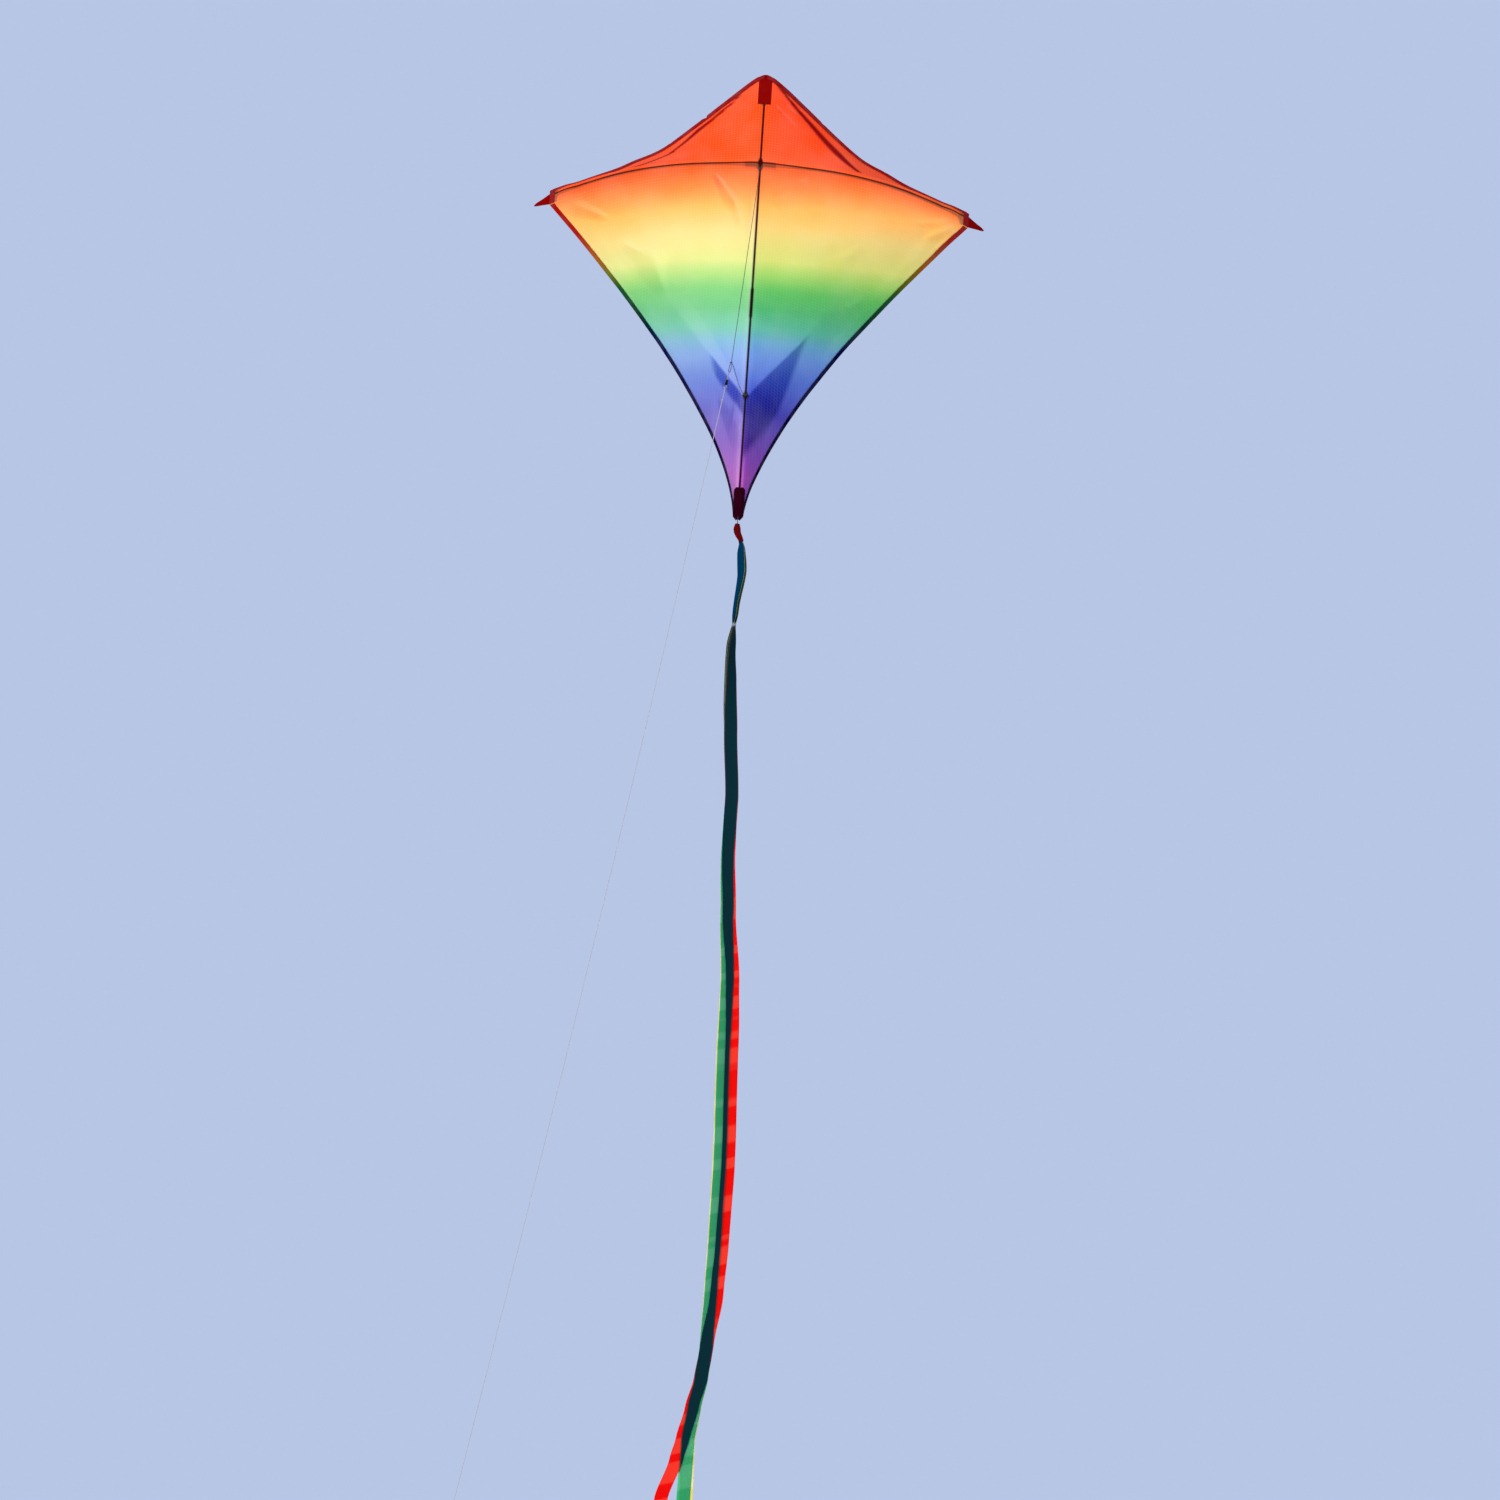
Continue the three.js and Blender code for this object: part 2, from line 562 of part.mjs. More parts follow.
function lineEye() {
  const head = post(1.2, -44.6, -43.2, 0, 0, 12);
  const stem = post(0.6, -48.9, -43.6, 0, 0, 12);
  const ring = new THREE.TorusGeometry(2.4, WIRE_R, 8, 18).rotateX(Math.PI / 2)
    .translate(0, 0, -51);
  return joined(head, stem, ring);
}
addMesh('line_eye', lineEye(), steel, lineGroup);

addMesh('line_hitch', link(alongY, v3(0, 0, -53.7), 20, 1.6, 0.5), paleCord, lineGroup);
addMesh('line_knot', ball(1.9, v3(0, 0, -78)), paleCord, lineGroup);

// Flying line, nearly straight under its pull.
const FLYING_LINE = [
  [0, 0, -80.3], [0.4, 0.3, -120], [1.4, 1, -260], [2.7, 1.9, -420], [3.9, 2.7, -580],
  [4.8, 3.4, -740], [5.5, 3.9, -900], [5.9, 4.2, -1060], [6, 4.3, -1220], [5.9, 4.2, -1380],
  [5.5, 3.9, -1540], [4.8, 3.4, -1700], [3.9, 2.7, -1860], [2.7, 1.9, -2020], [1.4, 1, -2180],
  [0.4, 0.3, -2290], [0, 0, -2332],
];
addMesh('flying_line', tube(FLYING_LINE.map(([x, y, z]) => v3(x, y, z)), LINE_R, 32), paleCord,
  lineGroup);
addMesh('line_end_knot', ball(2.2, v3(0, 0, -2334.6)), paleCord, lineGroup);
addMesh('line_end_loop', link(alongX, v3(0, 0, -2343.8), 26, 6, LINE_R, 8), paleCord, lineGroup);

// ---- tail ----------------------------------------------------------------------------------
addMesh('tail_link', link(alongY, TAIL_PIVOT, TAIL_LINK_DROP, TAIL_LINK_R, 0.6), blackCord);

const TAB_EYE = TAIL_PIVOT.z - TAIL_LINK_DROP - TAIL_LINK_R;
const TAB_BOTTOM = -727;

// The way the whole bundle turns: the blue ribbon faces forwards under the tab, then the
// bundle twists past edge-on until the red one does.
function bundleTurn(z) {
  const turned = [[-727, 120], [-787, 118], [-864, 104], [-925, 61], [-991, 40],
    [-1085, 4], [-1300, -6], [-1700, 8], [-2100, -5], [-2800, 6]];
  return follow(turned, z) * Math.PI / 180;
}

// Smooth value through [height, value] pairs listed from the top down.
function follow(pairs, z) {
  const last = pairs.length - 1;
  let i = 0;
  while (i < last - 1 && z < pairs[i + 1][0]) {
    i += 1;
  }
  const [highZ, high] = pairs[i];
  const [lowZ, low] = pairs[i + 1];
  const t = THREE.MathUtils.clamp((highZ - z) / (highZ - lowZ), 0, 1);
  return lerp(high, low, t * t * (3 - 2 * t) * 0.5 + t * 0.5);
}

function bundleCentre(z) {
  const sideways = [[-700, 0], [-727, 8], [-787, 13], [-864, 6.5], [-925, 2], [-991, 4],
    [-1085, 11], [-1216, 20], [-1322, 20], [-1430, 26], [-1551, 36], [-1662, 39], [-1901, 45],
    [-2048, 44], [-2139, 42], [-2225, 36], [-2285, 30], [-2340, 20], [-2395, 11], [-2434, 7],
    [-2505, -3], [-2650, -14], [-2800, -22]];
  const depth = [[-700, 0], [-900, 6], [-1300, -8], [-1800, 10], [-2300, -6], [-2800, 8]];
  return v3(follow(sideways, z), TAIL_PIVOT.y + follow(depth, z), z);
}

// How far the red ribbon stands to the right of the middle, the green one to the left.
function ribbonSpread(z) {
  const spread = [[-727, 0], [-1216, 0], [-1430, 2], [-1551, 4.5], [-1662, 7], [-1901, 7.3],
    [-2048, 6.5], [-2139, 5.2], [-2225, 0.6], [-2285, -0.6], [-2340, -2.2], [-2395, -4.7],
    [-2434, -9], [-2505, -20], [-2650, -27], [-2800, -31]];
  return follow(spread, z);
}

function ribbonPoint(t, layer, share, z) {
  const turn = bundleTurn(z);
  const along = t * RIBBON_WIDTH + share * ribbonSpread(z);
  const depth = (layer - 1.5) * RIBBON_PITCH;
  return bundleCentre(z).add(v3(along * Math.cos(turn) - depth * Math.sin(turn),
    along * Math.sin(turn) + depth * Math.cos(turn), 0));
}

const RIBBON_TOP = TAB_BOTTOM - GAP - 0.2;
const RIBBON_STEP = 42;
const RIBBONS = [
  ['red', 0, 1, -2760, '#f01c12'], ['green', 1, -0.82, -2745, '#4dc47c'],
  ['yellow', 2, -1.05, -2700, '#f5dc6a'], ['blue', 3, -0.6, -2390, '#1c5c9e'],
];
for (const [label, layer, share, end, colour] of RIBBONS) {
  const count = Math.round((RIBBON_TOP - end) / RIBBON_STEP);
  const rows = Array.from({ length: count + 1 }, (_, i) => [-0.5, 0.5]
    .map((t) => ribbonPoint(t, layer, share, RIBBON_TOP - i * RIBBON_STEP)));
  addMesh(`tail_ribbon_${label}`, sheetSolid(rows, TAPE), finish(colour, 0.55));
}

// Folded cloth tab: hangs on the link by its eye and grips the ribbons' tops.
function tailTab() {
  const rows = Array.from({ length: 10 }, (_, i) => {
    const z = lerp(TAB_EYE + 2.8, TAB_BOTTOM, i / 9);
    const turn = (bundleTurn(z) - Math.PI) * smooth(-z, 702, 727);
    const centre = v3(bundleCentre(z).x * smooth(-z, 700, 727), TAIL_PIVOT.y, z);
    const half = lerp(3.4, 5.5, smooth(-z, 693, 705));
    return [-1, 0, 1].map((t) => centre.clone()
      .add(v3(t * half * Math.cos(turn), t * half * Math.sin(turn), 0)));
  });
  const cloth = sheetSolid(rows, 1.2);
  const eye = new THREE.CylinderGeometry(1.5, 1.5, 6, 12).translate(0, TAIL_PIVOT.y, TAB_EYE);
  return cut(cloth, eye);
}
addMesh('tail_tab', tailTab(), finish('#7d1216', 0.75));

export default group;
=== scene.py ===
"""Diamond kite on its flying line: the looks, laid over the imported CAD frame.

Lengths are in millimetres up to the moment a mesh or curve is made, which is in metres.
"""
import functools
import math

import bpy
from mathutils import Matrix, Vector, noise


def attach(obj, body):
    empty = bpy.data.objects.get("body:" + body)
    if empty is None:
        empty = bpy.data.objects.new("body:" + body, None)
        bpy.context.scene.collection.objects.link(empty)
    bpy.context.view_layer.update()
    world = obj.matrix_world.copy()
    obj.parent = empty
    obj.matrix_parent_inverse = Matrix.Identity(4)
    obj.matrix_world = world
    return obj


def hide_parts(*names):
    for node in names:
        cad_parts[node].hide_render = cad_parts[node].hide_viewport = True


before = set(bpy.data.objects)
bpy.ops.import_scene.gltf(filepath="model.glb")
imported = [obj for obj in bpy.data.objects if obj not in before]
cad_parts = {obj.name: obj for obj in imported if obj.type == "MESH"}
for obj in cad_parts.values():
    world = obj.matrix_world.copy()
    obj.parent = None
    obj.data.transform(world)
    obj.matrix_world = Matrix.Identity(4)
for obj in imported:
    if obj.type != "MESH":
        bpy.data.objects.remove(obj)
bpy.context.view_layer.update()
scene = bpy.context.scene

MM = 0.001

# ---- driving dimensions, the same as the CAD's ----
SPAR_Y = -5.2
SPAR_REACH = 369
SPAR_STRAIGHT = 28
SPAR_BOW = 165
SPAR_CURVE = 2.2
SAIL_Y = -16.5
NOSE_HEIGHT = 172
LOWER_TOP = -16
SAIL_TIP = -686
CORNER = 352
LEADING_RUN = 415
SPAR_GAP = 3.4
RISE = 7
LEAN_FROM = 12
LEAN_TO = 300
BLOW_BACK = math.radians(66)
TIP_HALF = 8
TRAILING_CURVE = 1.65
CURL_LIFT = 8
FLAT = 5.5
UPPER_TIE = Vector((0, -20, -11.5))
LOWER_TIE = Vector((0, -20, -450))
BRIDLE_KNOT = Vector((-26, -95, -431))
LINE_MATRIX = (Matrix.Rotation(math.radians(-6.185), 3, "X")
               @ Matrix.Rotation(math.radians(8.15), 3, "Y"))
BRIDLE_CORD = 1.0
FLYING_CORD = 1.2
TAIL_Y = -15.6
TAB_EYE = -696.5
TAB_BOTTOM = -727
RIBBON_WIDTH = 22
RIBBON_PITCH = 1.8
RIBBON_HELD = -723.5                # the ribbons' tops, gripped inside the tab
SPINE_FERRULE_MIDDLE = -270
SPINE_FERRULE_HALF = 28
SPAR_FERRULE_HALF = 27
SLEEVE_START = 340
POCKET_BULGE = 7.0
SEAM_INSET = 1.4

# ---- the view, from far off and below, as a person on the ground sees the kite ----
CAMERA_TARGET = Vector((0.04482, 0, -1.11189))
CAMERA_DISTANCE = 30
CAMERA_ANGLES = (0.907, -27.511, 3.621)     # azimuth, elevation and roll in degrees
LENS = 431.92

# ---- thicknesses and spacings of the cloth ----
SAIL_THICK = 0.35
TAPE_THICK = 0.4
RIBBON_THICK = 0.3
TAB_THICK = 0.45
HEM_WIDTH = 8.6
HEM_FRONT = -0.75
HEM_BACK = 1.0
PATCH_FRONT = -1.35
PATCH_BACK = 1.75


def clamp(value, low=0.0, high=1.0):
    return min(max(value, low), high)


def lerp(start, end, share):
    return start + (end - start) * share


def smooth(value, low, high):
    share = clamp((value - low) / (high - low))
    return share * share * (3 - 2 * share)


def follow(pairs, z):
    """Smooth value through (height, value) pairs listed from the top down."""
    i = 0
    while i < len(pairs) - 2 and z < pairs[i + 1][0]:
        i += 1
    (high_z, high), (low_z, low) = pairs[i], pairs[i + 1]
    t = clamp((high_z - z) / (high_z - low_z))
    return lerp(high, low, t * t * (3 - 2 * t) * 0.5 + t * 0.5)


# ---- camera ----
def add_camera():
    azimuth, elevation, roll = (math.radians(angle) for angle in CAMERA_ANGLES)
    back = Vector((math.sin(azimuth) * math.cos(elevation),
                   -math.cos(azimuth) * math.cos(elevation), math.sin(elevation)))
    level = Vector((math.cos(azimuth), math.sin(azimuth), 0))
    upright = back.cross(level)
    across = math.cos(roll) * level + math.sin(roll) * upright
    up = back.cross(across)
    data = bpy.data.cameras.new("camera")
    data.lens = LENS
    data.sensor_width = 36
    data.clip_start = 0.5
    data.clip_end = 400
    camera = bpy.data.objects.new("camera", data)
    turned = Matrix((across, up, back)).transposed().to_4x4()
    camera.matrix_world = Matrix.Translation(CAMERA_TARGET + back * CAMERA_DISTANCE) @ turned
    scene.collection.objects.link(camera)
    scene.camera = camera


# ---- materials ----
def srgb(red, green, blue):
    """A colour given in 0-255 screen values, as linear light."""
    linear = [c / 12.92 if c <= 0.04045 else ((c + 0.055) / 1.055) ** 2.4
              for c in (red / 255, green / 255, blue / 255)]
    return (*linear, 1.0)


class Graph:
    """A material's node tree, with short calls that add and join nodes."""

    def __init__(self, name):
        self.material = bpy.data.materials.new(name)
        self.material.use_nodes = True
        self.tree = self.material.node_tree
        self.tree.nodes.clear()
        self.output = self.add("OutputMaterial")

    def add(self, kind, settings=None, **inputs):
        node = self.tree.nodes.new(f"ShaderNode{kind}")
        for key, value in (settings or {}).items():
            setattr(node, key, value)
        for key, value in inputs.items():
            self.feed(node.inputs[key.replace("_", " ")], value)
        return node

    def feed(self, socket, value):
        if isinstance(value, bpy.types.NodeSocket):
            self.tree.links.new(value, socket)
        else:
            socket.default_value = value

    def math(self, operation, *values):
        node = self.add("Math", {"operation": operation})
        for socket, value in zip(node.inputs, values):
            self.feed(socket, value)
        return node.outputs[0]

    def mix(self, share, first, second, blend="MIX"):
        node = self.add("Mix", {"data_type": "RGBA", "blend_type": blend})
        self.feed(node.inputs[0], share)
        self.feed(node.inputs[6], first)
        self.feed(node.inputs[7], second)
        return node.outputs[2]

    def remap(self, value, low, high, new_low=0.0, new_high=1.0):
        node = self.add("MapRange", {"clamp": True})
        for index, number in enumerate((value, low, high, new_low, new_high)):
            self.feed(node.inputs[index], number)
        return node.outputs[0]

    def ramp(self, share, stops):
        node = self.add("ValToRGB")
        elements = node.color_ramp.elements
        while len(elements) < len(stops):
            elements.new(1.0)
        for element, (place, colour) in zip(elements, stops):
            element.position = place
            element.color = colour
        self.feed(node.inputs[0], share)
        return node.outputs[0]

    def place(self, kind="Object"):
        return self.add("TexCoord").outputs[kind]

    def axes(self, kind="Object"):
        return self.add("SeparateXYZ", Vector=self.place(kind)).outputs

    def noise(self, scale, detail=3.0):
        return self.add("TexNoise", Vector=self.place(), Scale=scale, Detail=detail).outputs[0]

    def bands(self, axis, pitch):
        """Even ridges across one axis, pitch metres apart."""
        node = self.add("TexWave", {"bands_direction": axis}, Vector=self.place(),
                        Scale=math.pi / (10 * pitch))
        return node.outputs[1]

    def point_value(self, label):
        """A value that the mesh carries at each point."""
        return self.add("Attribute", {"attribute_name": label}).outputs[2]

    def bump(self, height, strength, distance):
        return self.add("Bump", Height=height, Strength=strength, Distance=distance).outputs[0]

    def finish(self, shader):
        self.tree.links.new(shader.outputs[0], self.output.inputs[0])
        return self.material


def weave(graph, pitch):
    """Height of a plain weave: threads over and under each other both ways."""
    warp = graph.bands("X", pitch)
    weft = graph.bands("Z", pitch)
    return graph.math("MULTIPLY", graph.math("ADD", warp, weft), 0.5)


def cloth(graph, colour, see_through, roughness=0.6, pitch=0.0006, relief=0.35, gloss=0.0):
    """Thin woven cloth that lets some light through."""
    height = graph.math("ADD", weave(graph, pitch), graph.noise(900, 2))
    normal = graph.bump(height, relief, 0.0001)
    rough = graph.remap(graph.noise(60), 0.3, 0.7, roughness - 0.08, roughness + 0.08)
    face = graph.add("BsdfPrincipled", Base_Color=colour, Roughness=rough, Normal=normal,
                     Specular_IOR_Level=gloss)
    glow = graph.add("BsdfTranslucent", Color=colour, Normal=normal)
    both = graph.add("MixShader", Fac=see_through)
    graph.tree.links.new(face.outputs[0], both.inputs[1])
    graph.tree.links.new(glow.outputs[0], both.inputs[2])
    return graph.finish(both)


# The dye's colours down the sail, by height in millimetres.
DYE = [(160, (255, 112, 24)), (16, (255, 116, 28)), (-10, (255, 132, 48)), (-44, (255, 168, 88)),
       (-84, (250, 206, 122)), (-134, (238, 222, 152)), (-188, (226, 228, 150)),
       (-216, (190, 222, 132)), (-244, (142, 212, 128)), (-280, (120, 206, 142)),
       (-318, (134, 208, 184)), (-344, (148, 198, 216)), (-372, (150, 184, 226)),
       (-424, (128, 154, 222)), (-480, (122, 108, 208)), (-540, (166, 108, 208)),
       (-606, (206, 104, 210)), (-680, (196, 86, 198))]
# The same dye painted darker as shade where the hem's layers lie over each other.
HEM_DYE_SHADED = [(20, (205, 8, 4)), (-110, (222, 26, 6)), (-160, (222, 112, 10)), (-196, (150, 140, 14)),
           (-232, (14, 108, 36)), (-296, (0, 62, 46)), (-344, (4, 22, 80)), (-440, (10, 4, 72)),
           (-560, (26, 0, 50)), (-680, (22, 0, 28))]


def dye(graph, stops):
    """Colour by height, from a list of (height in mm, screen colour) going down.

    The dyed bands lie straight across the flat cloth, so they climb where the wings bow back.
    On the left wing the upper bands lie lower."""
    high, low = stops[0][0], stops[-1][0]
    x, y, z = graph.axes()
    left_low = graph.math("MULTIPLY", graph.remap(x, -0.08, -0.28, 0, 0.032),
                          graph.remap(z, -0.24, -0.1))
    bowed = graph.math("MULTIPLY", graph.math("SUBTRACT", y, SAIL_Y * MM), -0.45)
    below = graph.remap(z, 0.03, -0.03)
    level = graph.math("ADD", graph.math("MULTIPLY_ADD", bowed, below, z), left_low)
    share = graph.remap(level, high * MM, low * MM)
    return graph.ramp(share, [((high - z) / (high - low), srgb(*c)) for z, c in stops])


def sail_material():
    graph = Graph("sail_nylon")
    colour = dye(graph, DYE)
    # Painted shade: the colour multiplied by itself, mixed in by the point value depth on fold
    # flanks and the right half.
    shaded_colour = graph.mix(1.0, colour, colour, "MULTIPLY")
    colour = graph.mix(graph.point_value("depth"), colour, shaded_colour)
    # Painted highlight: the point value paler lightens the colour.
    colour = graph.mix(graph.point_value("paler"), colour, srgb(255, 250, 236))
    checks = graph.math("MAXIMUM", graph.bands("X", 0.005), graph.bands("Z", 0.005))
    threads = graph.math("POWER", checks, 14)
    colour = graph.mix(graph.math("MULTIPLY", threads, 0.1), colour, srgb(255, 250, 240))
    cloudy = graph.remap(graph.noise(14), 0.35, 0.65, 0.0, 0.08)
    colour = graph.mix(cloudy, colour, srgb(252, 246, 232))
    # Painted shade on the tucks: a darker red where the point value tuck is 1.
    tuck_shaded = graph.mix(1.0, shaded_colour, srgb(185, 30, 30), "MULTIPLY")
    colour = graph.mix(graph.point_value("tuck"), colour, tuck_shaded)
    # Painted shadow: the sail's colour darkened where rods, the fitting and the rings lie behind
    # it.
    painted_rod_shade = graph.mix(1.0, colour, srgb(104, 42, 50), "MULTIPLY")
    colour = graph.mix(graph.point_value("painted_rod_shadow"), colour, painted_rod_shade)
    return cloth(graph, colour, 0.55, pitch=0.0007, gloss=0.06)


def plain_cloth(name, colour, see_through=0.25, worn=(255, 240, 230)):
    """Dyed cloth with faint clouding and paler thread tops."""
    graph = Graph(name)
    cloudy = graph.remap(graph.noise(45), 0.35, 0.7, 0.0, 0.05)
    base = graph.mix(cloudy, srgb(*colour), srgb(*worn))
    threads = graph.math("MULTIPLY", graph.math("POWER", weave(graph, 0.0008), 3), 0.05)
    return cloth(graph, graph.mix(threads, base, srgb(*worn)), see_through, pitch=0.0008)


def hem_rainbow_material():
    graph = Graph("hem_rainbow_cloth")
    base = dye(graph, HEM_DYE_SHADED)
    cloudy = graph.remap(graph.noise(50), 0.35, 0.7, 0.0, 0.04)
    return cloth(graph, graph.mix(cloudy, base, srgb(255, 240, 225)), 0.2, pitch=0.0008)


def ribbon_material(name, colour, pale, overlap_shade):
    """Ribbon cloth: paler cross bands painted as highlights where it ripples, and painted shade
    where other ribbons lie behind.
    """
    graph = Graph(name)
    across, down, _ = graph.axes("UV")
    slant = graph.math("MULTIPLY_ADD", across, 0.35, down)
    band = graph.add("TexNoise", {"noise_dimensions": "1D"}, W=slant, Scale=22.0, Detail=1.0)
    # Painted highlight: paler cross bands along the ribbon.
    ripple_highlights = graph.remap(band.outputs[0], 0.5, 0.56, 0.0, 0.55)
    base = graph.mix(ripple_highlights, srgb(*colour), srgb(*pale))
    # Painted shade where other ribbons lie behind, carried by the point value layers.
    base = graph.mix(graph.point_value("layers"), base, srgb(*overlap_shade))
    return cloth(graph, base, 0.45, pitch=0.0005, relief=0.2)


def rod_material():
    graph = Graph("pultruded_rod")
    streaks = graph.noise(700, 4)
    base = graph.mix(graph.remap(streaks, 0.35, 0.7), srgb(22, 17, 17), srgb(52, 40, 38))
    rough = graph.remap(streaks, 0.3, 0.7, 0.32, 0.5)
    shader = graph.add("BsdfPrincipled", Base_Color=base, Roughness=rough,
                       Normal=graph.bump(streaks, 0.25, 0.0001), Coat_Weight=0.25,
                       Coat_Roughness=0.25)
    return graph.finish(shader)


def moulded(name, colour, roughness, metallic=0.0, grain=1400.0, relief=0.3):
    """Moulded rubber or vinyl, or a metal finish, with fine grain and handling marks."""
    graph = Graph(name)
    fine = graph.noise(grain)
    marks = graph.remap(graph.noise(120, 4), 0.45, 0.75)
    lighter = tuple(min(255, c + 26) for c in colour)
    base = graph.mix(marks, srgb(*colour), srgb(*lighter))
    rough = graph.remap(fine, 0.3, 0.7, roughness - 0.07, roughness + 0.1)
    shader = graph.add("BsdfPrincipled", Base_Color=base, Roughness=rough, Metallic=metallic,
                       Normal=graph.bump(fine, relief, 0.00006))
    return graph.finish(shader)


def braid_material(name, colour, hollow_shade, pitch):
    """Braided cord: two sets of strands crossing on the slant, with painted shade in the hollows
    between them.
    """
    graph = Graph(name)
    x, y, z = graph.axes()
    across = graph.math("ADD", x, y)
    height = None
    for side in (1, -1):
        slope = graph.math("MULTIPLY", across, 1.6 * side)
        phase = graph.math("MULTIPLY", graph.math("ADD", z, slope), math.tau / pitch)
        strand = graph.math("ABSOLUTE", graph.math("SINE", phase))
        height = strand if height is None else graph.math("MAXIMUM", height, strand)
    base = graph.mix(graph.remap(height, 0.55, 1.0), srgb(*hollow_shade), srgb(*colour))
    shader = graph.add("BsdfPrincipled", Base_Color=base, Roughness=0.75, Sheen_Weight=0.3,
                       Normal=graph.bump(height, 0.6, 0.0002))
    return graph.finish(shader)


MATERIALS = {
    "sail": sail_material(),
    "hem_red": plain_cloth("hem_red_cloth", (196, 2, 6)),
    "hem_rainbow": hem_rainbow_material(),
    "pocket_red": plain_cloth("pocket_red_cloth", (186, 0, 2), worn=(235, 90, 70)),
    "pocket_maroon": plain_cloth("pocket_maroon_cloth", (58, 0, 20), worn=(150, 60, 90)),
    "fibre_rod": rod_material(),
    "ferrule": moulded("ferrule_black", (17, 17, 18), 0.36, 0.4),
    "vinyl": moulded("vinyl_black", (24, 24, 27), 0.58),
    "bridle_cord": braid_material("bridle_braid", (62, 52, 56), (26, 20, 24), 0.0012),
    "snap_steel": moulded("snap_steel", (205, 186, 176), 0.28, 1.0, grain=2200.0, relief=0.15),
    "swivel_black": moulded("swivel_black", (20, 20, 22), 0.32, 0.85, relief=0.12),
    "line_cord": braid_material("line_braid", (232, 226, 222), (176, 168, 168), 0.0014),
    "tab_cloth": plain_cloth("tab_cloth_red", (112, 6, 12), 0.1, worn=(190, 70, 60)),
    "ribbon_red": ribbon_material("ribbon_red", (246, 26, 18), (255, 108, 78), (24, 70, 74)),
    "ribbon_yellow": ribbon_material("ribbon_yellow", (246, 236, 150), (255, 250, 205),
                                     (150, 170, 90)),
    "ribbon_green": ribbon_material("ribbon_green", (84, 208, 134), (140, 228, 172),
                                    (16, 78, 82)),
    "ribbon_blue": ribbon_material("ribbon_blue", (0, 92, 136), (10, 112, 152), (0, 84, 118)),
}
THREAD_RED = moulded("thread_red", (104, 8, 12), 0.7, grain=3000.0)
THREAD_DARK = moulded("thread_dark", (34, 22, 48), 0.7, grain=3000.0)


# ---- making pieces ----
def own(piece, body, slot, *nodes, material=None):
    """The piece rides on its body, takes its slot's finish and stands for the CAD nodes."""
    piece.data.materials.append(material or MATERIALS[slot])
    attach(piece, body)
    if nodes:
        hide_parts(*nodes)
    return piece


def mesh_object(name, points, faces):
    mesh = bpy.data.meshes.new(name)
    mesh.from_pydata([Vector(p) * MM for p in points], [], faces)
    mesh.update()
    for polygon in mesh.polygons:
        polygon.use_smooth = True
    piece = bpy.data.objects.new(name, mesh)
    scene.collection.objects.link(piece)
    return piece


def thicken(piece, thickness, offset=0):
    """Cloth thickness, on both sides of the surface or (offset 1 or -1) on one."""
    solid = piece.modifiers.new("thickness", "SOLIDIFY")
    solid.thickness = thickness * MM
    solid.offset = offset
    return piece


def grid_faces(rows, columns, first=0, closed=False):
    """Quads between neighbouring rows of points; closed joins each row's end to its start."""
    faces = []
    for i in range(rows - 1):
        for j in range(columns if closed else columns - 1):
            a = first + i * columns + j
            b = first + i * columns + (j + 1) % columns
            faces.append((a, b, b + columns, a + columns))
    return faces


def sheet_object(name, rows, thickness, extras=None):
    """Cloth through rows of points. UVs are metres along and across; extras are point values."""
    columns = len(rows[0])
    piece = mesh_object(name, [p for row in rows for p in row], grid_faces(len(rows), columns))
    down = [0.0]
    for upper, lower in zip(rows, rows[1:]):
        middle = columns // 2
        down.append(down[-1] + (Vector(lower[middle]) - Vector(upper[middle])).length * MM)
    across = [[0.0] for _ in rows]
    for run, row in zip(across, rows):
        for near, far in zip(row, row[1:]):
            run.append(run[-1] + (Vector(far) - Vector(near)).length * MM)
    layer = piece.data.uv_layers.new(name="UVMap")
    for loop in piece.data.loops:
        i, j = divmod(loop.vertex_index, columns)
        layer.data[loop.index].uv = (across[i][j], down[i])
    for label, values in (extras or {}).items():
        layer = piece.data.attributes.new(label, "FLOAT", "POINT")
        layer.data.foreach_set("value", [v for row in values for v in row])
    return thicken(piece, thickness)


def tube_object(name, rings, capped):
    """Cloth through closed rings of points, capped over the first ring (0) or the last (-1)."""
    sides = len(rings[0])
    first = capped % len(rings) * sides
    faces = grid_faces(len(rings), sides, closed=True)
    faces.append(tuple(first + i for i in range(sides)))
    return mesh_object(name, [p for ring in rings for p in ring], faces)


def cord_curve(name, points, diameter, closed=False):
    """A round cord along one smooth curve, open or joined end to end."""
    curve = bpy.data.curves.new(name, "CURVE")
    curve.dimensions = "3D"
    curve.bevel_depth = diameter / 2 * MM
    curve.bevel_resolution = 3
    curve.use_fill_caps = not closed
    curve.resolution_u = 12 if closed else 6
    spline = curve.splines.new("NURBS")
    spline.points.add(len(points) - 1)
    for point, place in zip(spline.points, points):
        point.co = (*(Vector(place) * MM), 1)
    spline.order_u = 3
    spline.use_endpoint_u = not closed
    spline.use_cyclic_u = closed
    piece = bpy.data.objects.new(name, curve)
    scene.collection.objects.link(piece)
    return piece


